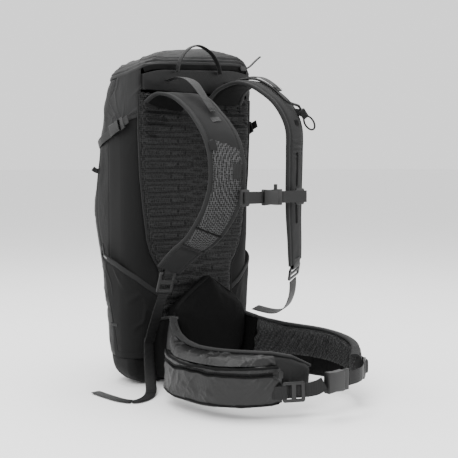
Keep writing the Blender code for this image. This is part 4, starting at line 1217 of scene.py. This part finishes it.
for side in ("right", "left"):
    route = smooth_path(LIFTER_ROUTES[side], 60)
    line = frames(route, (1, 0, 0))
    band(f"load_lifter_web_{side}", line, (0.011, 0.015, 0.019, 0.014, 0.010), 0.0016, 11, WEBBING, "pack",
         [f"load_lifter_{side}"])
    bar_tack(f"lifter_tack_{side}", shifted(cut(line, 0.93, 0.985), 0.0, 0.0011), 0.012, "pack")
    strap_line = STRAP_LINES[side]
    patch = shifted(cut(strap_line, 0.300, 0.325), 0.004, 0.0054)
    band(f"lifter_patch_{side}", patch, 0.015, 0.0012, 9, WEBBING, "pack")

near = STRAP_LINES["right"]
tag = shifted(cut(near, 0.400, 0.440), -0.0175, 0.0052)
band("strap_tag", tag, 0.011, 0.0016, 9, STRAP_CLOTH, "pack")
for number, (start, end) in enumerate(((0.490, 0.497), (0.530, 0.537))):
    loop = shifted(cut(near, start - 0.004, end + 0.004), 0.014, 0.0056)
    bar_tack(f"strap_bar_{number}", loop, 0.013, "pack", rows=7)
holder = shifted(cut(near, 0.490, 0.537), 0.014, 0.0050)
band("strap_bar_web", holder, 0.0125, 0.0016, 9, WEBBING, "pack")
for number, (start, end) in enumerate(((0.840, 0.850), (0.745, 0.752))):
    tape = shifted(cut(near, start, end), 0.0, 0.0050)
    band(f"strap_end_tape_{number}", tape, (0.046, 0.044), 0.0012, 9, DARK_BINDING if number else WEBBING,
         "pack")

far = STRAP_LINES["left"]
for number, (start, end) in enumerate(((0.570, 0.700), (0.745, 0.840))):
    slit = shifted(cut(far, start, end), 0.0, 0.0052)
    band(f"trigger_zip_{number}", slit, 0.0060, 0.0010, 7, DARK_BINDING, "pack")
    thread_rows(f"trigger_zip_teeth_{number}", [shifted(slit, 0.0, 0.0006)], MOULDED, "pack",
                (0.0016, 0.0010, 0.0030))
band("far_strap_bar", shifted(cut(far, 0.452, 0.468), 0.004, 0.0054), 0.012, 0.0016, 9, DARK_BINDING, "pack")

HAUL = ((-0.047, -0.0858, 0.5015), (-0.042, -0.0862, 0.520), (-0.027, -0.0866, 0.538),
        (-0.005, -0.0866, 0.5455),
        (0.020, -0.0866, 0.536), (0.035, -0.0862, 0.519), (0.041, -0.0858, 0.5030))
band("haul_webbing", frames(smooth_path(HAUL, 80), (0, 1, 0)), 0.0100, 0.0028, 13, WEBBING, "haul",
     ["haul_loop"])


# ---------------------------------------------------------------- webbing

def web_piece(cad, body, finish=WEBBING):
    piece = subdivided(cad_copy(cad, f"{cad}_cloth", 75.0), 9000)

    def settle(points, normals):
        return 0.0002 * cloud(points, 0.012, 41)

    relieved(piece, settle)
    return finish_piece(piece, finish, body, [cad])


WEBS = {"shoulder_web_right": "pack", "shoulder_web_left": "pack", "side_web_front_right": "pack",
        "side_web_front_left": "pack", "side_web_rear_right": "side_plug_right",
        "side_web_rear_left": "side_plug_left", "sternum_web_right": "sternum",
        "sternum_web_left": "sternum_plug", "hip_web_left": "belt_left", "cartridge_strap": "pack"}
for web, body in WEBS.items():
    web_piece(web, body)

TAIL = ((-0.1036, -0.0836, 0.0810), (-0.1052, -0.0850, 0.0690), (-0.1085, -0.0905, 0.0450),
        (-0.1130, -0.1000, 0.0200), (-0.1230, -0.1160, 0.0045), (-0.1450, -0.1340, 0.0016),
        (-0.1680, -0.1400, 0.0016), (-0.1800, -0.1220, 0.0016), (-0.1830, -0.0880, 0.0016),
        (-0.1830, -0.0520, 0.0016))
TAIL_FLOOR = 0.0016         # half the tail's thickness and a little more, so that it lies on the floor
tail_route = [Vector((p.x, p.y, max(p.z, TAIL_FLOOR))) for p in smooth_path(TAIL, 110)]
tail_line = frames(tail_route, (1, 0, 0), (0.75, -0.66, 0.0))
band("shoulder_web_tail_cloth", tail_line, 0.017, 0.0018, 13, WEBBING, "pack",
     ["shoulder_web_tail"])
bar_tack("tail_tack", shifted(cut(tail_line, 0.955, 0.985), 0.0, 0.0011), 0.013, "pack")

HIP_WEB = ((-0.0705, -0.3505, 0.0400), (-0.0545, -0.3615, 0.0406), (-0.0405, -0.3745, 0.0425),
           (-0.0330, -0.3855, 0.0465), (-0.0240, -0.3915, 0.0520))
band("hip_web_right_cloth", frames(smooth_path(HIP_WEB, 60), (0, 0, 1)), 0.0200, 0.0017, 13, WEBBING,
     "belt_right", ["hip_web_right"])

KEEPER_GAP = 0.0028         # how far a keeper's two sides stand off the lock's bar


def lock_keeper(name, body, pivot, way, across, bar, sewn):
    """A loop of webbing, sewn down at one point, round the bar that a ladder-lock tilts on."""
    pivot = Vector(pivot)
    way = Vector(way).normalized()
    out = way.cross(Vector(across)).normalized() * KEEPER_GAP
    route = [Vector(sewn), pivot - way * 0.005 + out, pivot + way * bar * 0.6 + out,
             pivot + way * (bar + 0.0016), pivot + way * bar * 0.6 - out, pivot - way * 0.007 - out]
    piece = ribbon(name, frames(smooth_path(route, 60), across), 0.0185, 0.0014, 11)
    return finish_piece(piece, WEBBING, body)


lock_keeper("shoulder_keeper_right", "pack", (-0.0875, -0.1145, 0.1895), (-0.10, 0.22, -0.97), (1, 0, 0),
            0.0069, (-0.0862, -0.1238, 0.2000))
lock_keeper("shoulder_keeper_left", "pack", (0.0815, -0.2225, 0.1965), (0.28, 0.45, -0.85), (1, 0.2, 0.3),
            0.0048, (0.0790, -0.2290, 0.2080))
lock_keeper("hip_keeper_right", "belt_right", (-0.0720, -0.3560, 0.0400), (0.84, -0.54, 0.03), (0, 0, 1),
            0.0061, (-0.0850, -0.3462, 0.0398))
lock_keeper("hip_keeper_left", "belt_left", (0.0900, -0.3640, 0.0560), (-0.80, -0.60, 0.0), (0, 0, -1),
            0.0048, (0.1150, -0.3290, 0.0565))


# ---------------------------------------------------------------- hip belt

def wing_route(points, heights, count):
    flat = smooth_path([(x, y, 0.0) for x, y in points], count)
    return [Vector((p.x, p.y, along(heights, i / (count - 1)))) for i, p in enumerate(flat)]


BELT_CENTRE = np.array((0.005, -0.235, 0.0))
WING_SIGN = {"right": -1, "left": 1}
RIB_STEP = 0.0088


def inner_side(points, normals):
    towards = BELT_CENTRE - points
    towards[:, 2] = 0.0
    towards /= np.maximum(np.linalg.norm(towards, axis=1), 1e-9)[:, None]
    return (towards * normals).sum(axis=1)


def wing_folds(points, normals):
    """Slanted ribs under the mesh on the inside, and soft creases on the outside."""
    angle = np.arctan2(points[:, 1] - BELT_CENTRE[1], points[:, 0])
    travel = angle * 0.125 + 0.55 * (points[:, 2] - 0.05) * np.sign(points[:, 0])
    inside = stepped(inner_side(points, normals), 0.35, 0.75)
    ribbed = inside * stepped(points[:, 2], 0.040, 0.048) * (1 - stepped(points[:, 2], 0.076, 0.086))
    ribs = 0.0024 * (np.cos(travel * 2 * math.pi / RIB_STEP) - 0.3) * ribbed
    step = -0.0010 * bell(points[:, 2] - 0.041, 0.0016) * inside
    outside = stepped(-inner_side(points, normals), 0.3, 0.7)
    return ribs + step + 0.0010 * folds(points, 0.025, 51, (0, 0.3, 1.0)) * outside


def wing_materials(points, normals):
    inside = inner_side(np.array(points, float), np.array(normals, float)) > 0.3
    return np.where(inside & (points[:, 2] > 0.041), 1, np.where(inside, 2, 0))


def wing_blend(side):
    sign = WING_SIGN[side]
    return ("pack", f"belt_{side}", (sign * 0.079, -0.119, 0.058), (sign * 0.098, -0.142, 0.056))


for side in ("right", "left"):
    wing = inflated(cad_copy(f"hip_wing_{side}", f"wing_padding_{side}"), 0.0010, 0.005)
    relieved(wing, wing_folds)
    paint(wing, [PACK_CLOTH, WING_MESH, LUMBAR_CLOTH_AND_PAINTED_SHADE], wing_materials)
    finish_piece(wing, None, wing_blend(side), [f"hip_wing_{side}"])
    for heights, drop, name in ((WING_TOP[side], -0.0018, "top"), (WING_BOTTOM[side], 0.0018, "bottom")):
        edge = frames(wing_route(WING_ROUTES[side], [h + drop for h in heights], 90), (0, 0, 1))
        band(f"wing_binding_{side}_{name}", edge, 0.0050, 0.0118, 13, BINDING, wing_blend(side))

WING_ROOT = ((0.0805, -0.0720), (0.0800, -0.0900), (0.0800, -0.1080), (0.0830, -0.1260))
ROOT_TOPS = {"right": (0.108, 0.112, 0.116, 0.118), "left": (0.112, 0.110, 0.107, 0.104)}
ROOT_BOTTOMS = (0.016, 0.0155, 0.015, 0.0145)


def wing_root(side):
    """The padding that carries each wing on from its CAD end to the pack, beside the lumbar pad."""
    sign = WING_SIGN[side]
    points = [(sign * x, y) for x, y in WING_ROOT]
    heights = [(top + bottom) / 2 for top, bottom in zip(ROOT_TOPS[side], ROOT_BOTTOMS)]
    widths = [top - bottom for top, bottom in zip(ROOT_TOPS[side], ROOT_BOTTOMS)]
    line = frames(wing_route(points, heights, 40), (0, 0, 1))
    band(f"wing_root_{side}", line, widths, 0.0105, 41, LUMBAR_CLOTH_AND_PAINTED_SHADE, wing_blend(side))
    edge = frames(wing_route(points, [top - 0.0010 for top in ROOT_TOPS[side]], 40), (0, 0, 1))
    band(f"wing_root_binding_{side}", edge, 0.0050, 0.0115, 13, BINDING, wing_blend(side))


for side in ("right", "left"):
    wing_root(side)

pocket = inflated(cad_copy("belt_pocket", "belt_pocket_cloth"), 0.0012, 0.006)
pocket_line = frames(wing_route(POCKET_ROUTE, POCKET_HEIGHTS, 100), (0, 0, 1))


def belt_outward(point):
    return Vector((point.x - BELT_CENTRE[0], point.y - BELT_CENTRE[1], 0)).normalized()


def pocket_rail(height):
    """A line along the pocket's outside at a share of its half height."""
    return [p + s * (along(POCKET_WIDTHS, i / 99) / 2 * height) + belt_outward(p) * along(POCKET_DEPTHS,
                                                                                          i / 99)
            for i, (p, s, _) in enumerate(pocket_line)]


ZIP_RAIL = pocket_rail(0.52)


POCKET_MIDDLE_Z = sum(POCKET_HEIGHTS) / len(POCKET_HEIGHTS)
POCKET_HALF_HEIGHT = max(POCKET_WIDTHS) / 2


def belt_pocket_folds(points, normals):
    outside = stepped(-inner_side(points, normals), 0.0, 0.5)
    zip_line = bell(line_distance(points, ZIP_RAIL), 0.0055)
    edge = np.abs(points[:, 2] - POCKET_MIDDLE_Z) / POCKET_HALF_HEIGHT
    outside = outside * (1 - 0.8 * stepped(edge, 0.72, 0.92))
    below = 1 - stepped(points[:, 2], 0.055, 0.066)
    pulls = 0.0020 * folds(points, 0.016, 61, (0.6, -0.6, 0.8)) + 0.0016 * folds(points, 0.011, 62,
                                                                                 (0.8, -0.8, -0.5))
    upper = 0.0018 * folds(points, 0.009, 63, (0.6, -0.6, 0.9)) * (1 - below)
    lumps = 0.0016 * cloud(points, 0.035, 64)
    return outside * ((pulls * below + upper + lumps) * (1 - zip_line) - 0.0012 * zip_line)


relieved(pocket, belt_pocket_folds)
finish_piece(pocket, POCKET_CLOTH, "belt_right", ["belt_pocket"])
rail = laid_line(pocket, ZIP_RAIL[8:94], 0.0003)
band("belt_zip_tape", rail, 0.0070, 0.0012, 9, DARK_BINDING, "belt_right")
thread_rows("belt_zip_teeth", [shifted(rail, 0.0, 0.0007)], MOULDED, "belt_right",
            (0.0016, 0.0010, 0.0032))
thread_rows("belt_zip_stitching", [shifted(rail, sign * 0.0029, 0.0007) for sign in (-1, 1)], THREAD,
            "belt_right")
for name, height in (("top", 0.93), ("bottom", -0.95)):
    rail = laid_line(pocket, pocket_rail(height)[3:97], 0.0002)
    band(f"pocket_binding_{name}", rail, 0.0036, 0.0020, 9, DARK_BINDING, "belt_right")


def pocket_roof():
    """The wrinkled cloth between the belt pocket's upper edge and the wing's top binding."""
    wing_top = wing_route(WING_ROUTES["right"], [h - 0.0035 for h in WING_TOP["right"]], 160)
    rows = 16
    lines = []
    for outer in pocket_rail(0.90)[4:96]:
        inner = min(wing_top, key=lambda p: (p.x - outer.x) ** 2 + (p.y - outer.y) ** 2)
        out = belt_outward(inner)
        start = inner + out * 0.0068
        end = outer - out * 0.0125
        lines.append([start.lerp(end, k / (rows - 1)) + (out * 0.5 + Vector((0, 0, 0.5))) * 0.006
                      * math.sin(math.pi * k / (rows - 1)) for k in range(rows)])
    grid = np.array([[tuple(line[k]) for line in lines] for k in range(rows)])
    points = grid.reshape(-1, 3)
    wrinkles = 0.0018 * folds(points, 0.009, 66, (0.6, -0.6, 0.7)) + 0.0014 * folds(points, 0.012, 67,
                                                                                    (-0.7, 0.6, 0.7))
    grid += grid_normals(grid, BELT_CENTRE) * wrinkles.reshape(grid.shape[:2])[:, :, None]
    piece = slab("belt_pocket_roof", grid, 0.0012, BELT_CENTRE)
    return finish_piece(piece, POCKET_CLOTH, "belt_right")


pocket_roof()


# ---------------------------------------------------------------- moulded and metal pieces

def moulded_copy(cad, body, finish, width=0.0006):
    """A moulded piece with its edges rounded."""
    piece = cad_copy(cad, f"{cad}_moulding", 30.0)
    bevel = piece.modifiers.new("edges", "BEVEL")
    bevel.width = width
    bevel.segments = 3
    bevel.limit_method = "ANGLE"
    bevel.angle_limit = math.radians(30)
    bevel.use_clamp_overlap = True
    applied(piece)
    return finish_piece(piece, finish, body, [cad], 40.0)


MOULDINGS = {
    "side_buckle_right_female": ("pack", MOULDED), "side_buckle_left_female": ("pack", MOULDED),
    "side_buckle_right_male": ("side_plug_right", MOULDED),
    "side_buckle_left_male": ("side_plug_left", MOULDED),
    "sternum_buckle_female": ("sternum", MOULDED), "sternum_buckle_male": ("sternum_plug", MOULDED),
    "sternum_slider_right": ("sternum", MOULDED), "sternum_slider_left": ("sternum", MOULDED),
    "hip_buckle_female": ("belt_right", GREY_MOULDED), "hip_buckle_male": ("belt_left", GREY_MOULDED),
    "ladder_lock_right": ("shoulder_lock_right", GREY_MOULDED),
    "ladder_lock_left": ("shoulder_lock_left", MOULDED),
    "hip_ladder_lock_right": ("belt_lock_right", GREY_MOULDED),
    "hip_ladder_lock_left": ("belt_lock_left", MOULDED),
    "belt_pocket_slider": ("belt_zip", MOULDED), "lid_zip_slider": ("lid_zip", MOULDED),
    "lid_zip_pull": ("lid_zip", MOULDED),
    "trigger_lever": ("lever", STEEL),
}
for cad, (body, finish) in MOULDINGS.items():
    small = cad in ("belt_pocket_slider", "lid_zip_slider", "lid_zip_pull")
    moulded_copy(cad, body, finish, 0.0003 if small else 0.0007)

LOOP_DEPTH = Vector((0.64, 0.76, 0.0)) - TRIGGER_WAY * Vector((0.64, 0.76, 0.0)).dot(TRIGGER_WAY)
loop = [SLEEVE_TOP + TRIGGER_WAY * (0.0240 - 0.0120 * math.cos(angle))
        + TRIGGER_WAY.cross(LOOP_DEPTH).normalized() * 0.0068 * math.sin(angle)
        for angle in np.linspace(0.0, 2 * math.pi, 50)]
band("trigger_loop", frames(loop, LOOP_DEPTH), 0.0048, 0.0027, 11, MOULDED, "trigger",
     ["trigger_handle"])
CORE_REACH = (-0.0118,
              0.0128)   # the wire's two ends along the pull; the upper one stays in the sheath at rest
core = [SLEEVE_TOP + TRIGGER_WAY * reach for reach in np.linspace(*CORE_REACH, 12)]
band("trigger_core", frames(core, LOOP_DEPTH), 0.0011, 0.0011, 9, STEEL, "trigger")
TRIGGER_TAB = ((0.0790, -0.2165, 0.4380), (0.0860, -0.2240, 0.4365), (0.0912, -0.2283, 0.4345))
band("trigger_tab", frames(smooth_path(TRIGGER_TAB, 16), TRIGGER_WAY), 0.0105, 0.0036, 9, STRAP_CLOTH,
     "pack")

HARD = {"gas_cartridge": STEEL, "inflator_body": INFLATOR_ALLOY, "pressure_gauge": GAUGE,
        "frame_sheet": SHEET_PLASTIC, "frame_stay_right": ALUMINIUM, "frame_stay_left": ALUMINIUM}
for cad, finish in HARD.items():
    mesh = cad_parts[cad].data
    mesh.materials.clear()
    mesh.materials.append(finish)


def airbag_pleats(points, normals):
    return 0.0014 * np.cos(points[:, 2] * 2 * math.pi / 0.011) + 0.0010 * cloud(points, 0.02, 71)


soft_copy("airbag_packed", "airbag_cloth", airbag_pleats, AIRBAG_CLOTH, target=16000)
soft_copy("trigger_sleeve", "trigger_sleeve_cloth", None, STRAP_CLOTH, target=8000)
soft_copy("trigger_cable", "trigger_cable_sheath", None, MOULDED, target=12000)


# ---------------------------------------------------------------- small fittings and zips

rim_route = [Vector((x, LID_BACK_Y - 0.0002, lid_rim_z(x, LID_BACK_Y) - 0.0046)) for x in np.linspace(-0.104,
                                                                                                      0.104,
                                                                                                      80)]
rim_line = frames(rim_route, (0, 0, 1))
band("lid_zip_tape", rim_line, 0.0085, 0.0010, 9, DARK_BINDING, "pack")

whistle = frames([Vector((0.0065, -0.2575, z)) for z in np.linspace(0.3170, 0.3255, 12)], (1, 0, 0))
band("whistle_tab", whistle, 0.0060, 0.0040, 9, MOULDED, "sternum")

tab = frames(smooth_path(((-0.1150, 0.0280, 0.3420), (-0.1255, 0.0330, 0.3450), (-0.1305, 0.0345, 0.3485)),
                         14),
             (0, 0, 1))
band("front_corner_tab", tab, 0.0080, 0.0030, 9, WEBBING, "pack")

bar = laid_line(pocket_right, [side_surface(y, 0.098, 0.0060) for y in np.linspace(-0.034, 0.004, 20)],
                0.0003)
band("side_pocket_bar", bar, 0.0050, 0.0006, 7, BINDING, "pack")


# ---------------------------------------------------------------- room, lights and camera

def area_light(name, place, target, size, power):
    data = bpy.data.lights.new(name, "AREA")
    data.shape = "RECTANGLE"
    data.size = size[0]
    data.size_y = size[1]
    data.energy = power
    lamp = bpy.data.objects.new(name, data)
    bpy.context.scene.collection.objects.link(lamp)
    lamp.location = place
    lamp.rotation_euler = (Vector(target) - Vector(place)).to_track_quat("-Z", "Y").to_euler()
    return lamp


floor_mesh = bpy.data.meshes.new("floor")
floor_mesh.from_pydata([(-60, -60, 0), (60, -60, 0), (60, 60, 0), (-60, 60, 0)], [], [(0, 1, 2, 3)])
floor = bpy.data.objects.new("floor", floor_mesh)
bpy.context.scene.collection.objects.link(floor)
floor.location.z = -0.0006
floor_paint, floor_shader = principled("floor_paint", 0.9, specular=0.1)
floor_shader.inputs["Base Color"].default_value = (0.93, 0.93, 0.93, 1.0)
floor.data.materials.append(floor_paint)

world = bpy.data.worlds.new("studio")
world.use_nodes = True
world.node_tree.nodes["Background"].inputs["Color"].default_value = (1.0, 1.0, 1.0, 1.0)
world.node_tree.nodes["Background"].inputs["Strength"].default_value = 1.35
bpy.context.scene.world = world
PACK_MIDDLE = (0.0, -0.08, 0.28)
area_light("key", (-1.5, -1.2, 1.7), PACK_MIDDLE, (1.2, 1.2), 45.0)
area_light("fill", (1.4, -1.6, 0.9), PACK_MIDDLE, (1.2, 1.2), 12.0)
area_light("top", (0.1, 0.2, 2.0), PACK_MIDDLE, (1.4, 1.4), 40.0)
area_light("rim", (-1.3, 1.1, 1.0), PACK_MIDDLE, (0.8, 1.2), 8.0)

camera_data = bpy.data.cameras.new("camera")
camera_data.lens = CAMERA_LENS
camera_data.sensor_width = SENSOR
camera = bpy.data.objects.new("camera", camera_data)
bpy.context.scene.collection.objects.link(camera)
camera.location = CAMERA_PLACE
camera.rotation_euler = (math.radians(90.0 - CAMERA_PITCH), 0.0, math.radians(-CAMERA_AZIMUTH))
bpy.context.scene.camera = camera
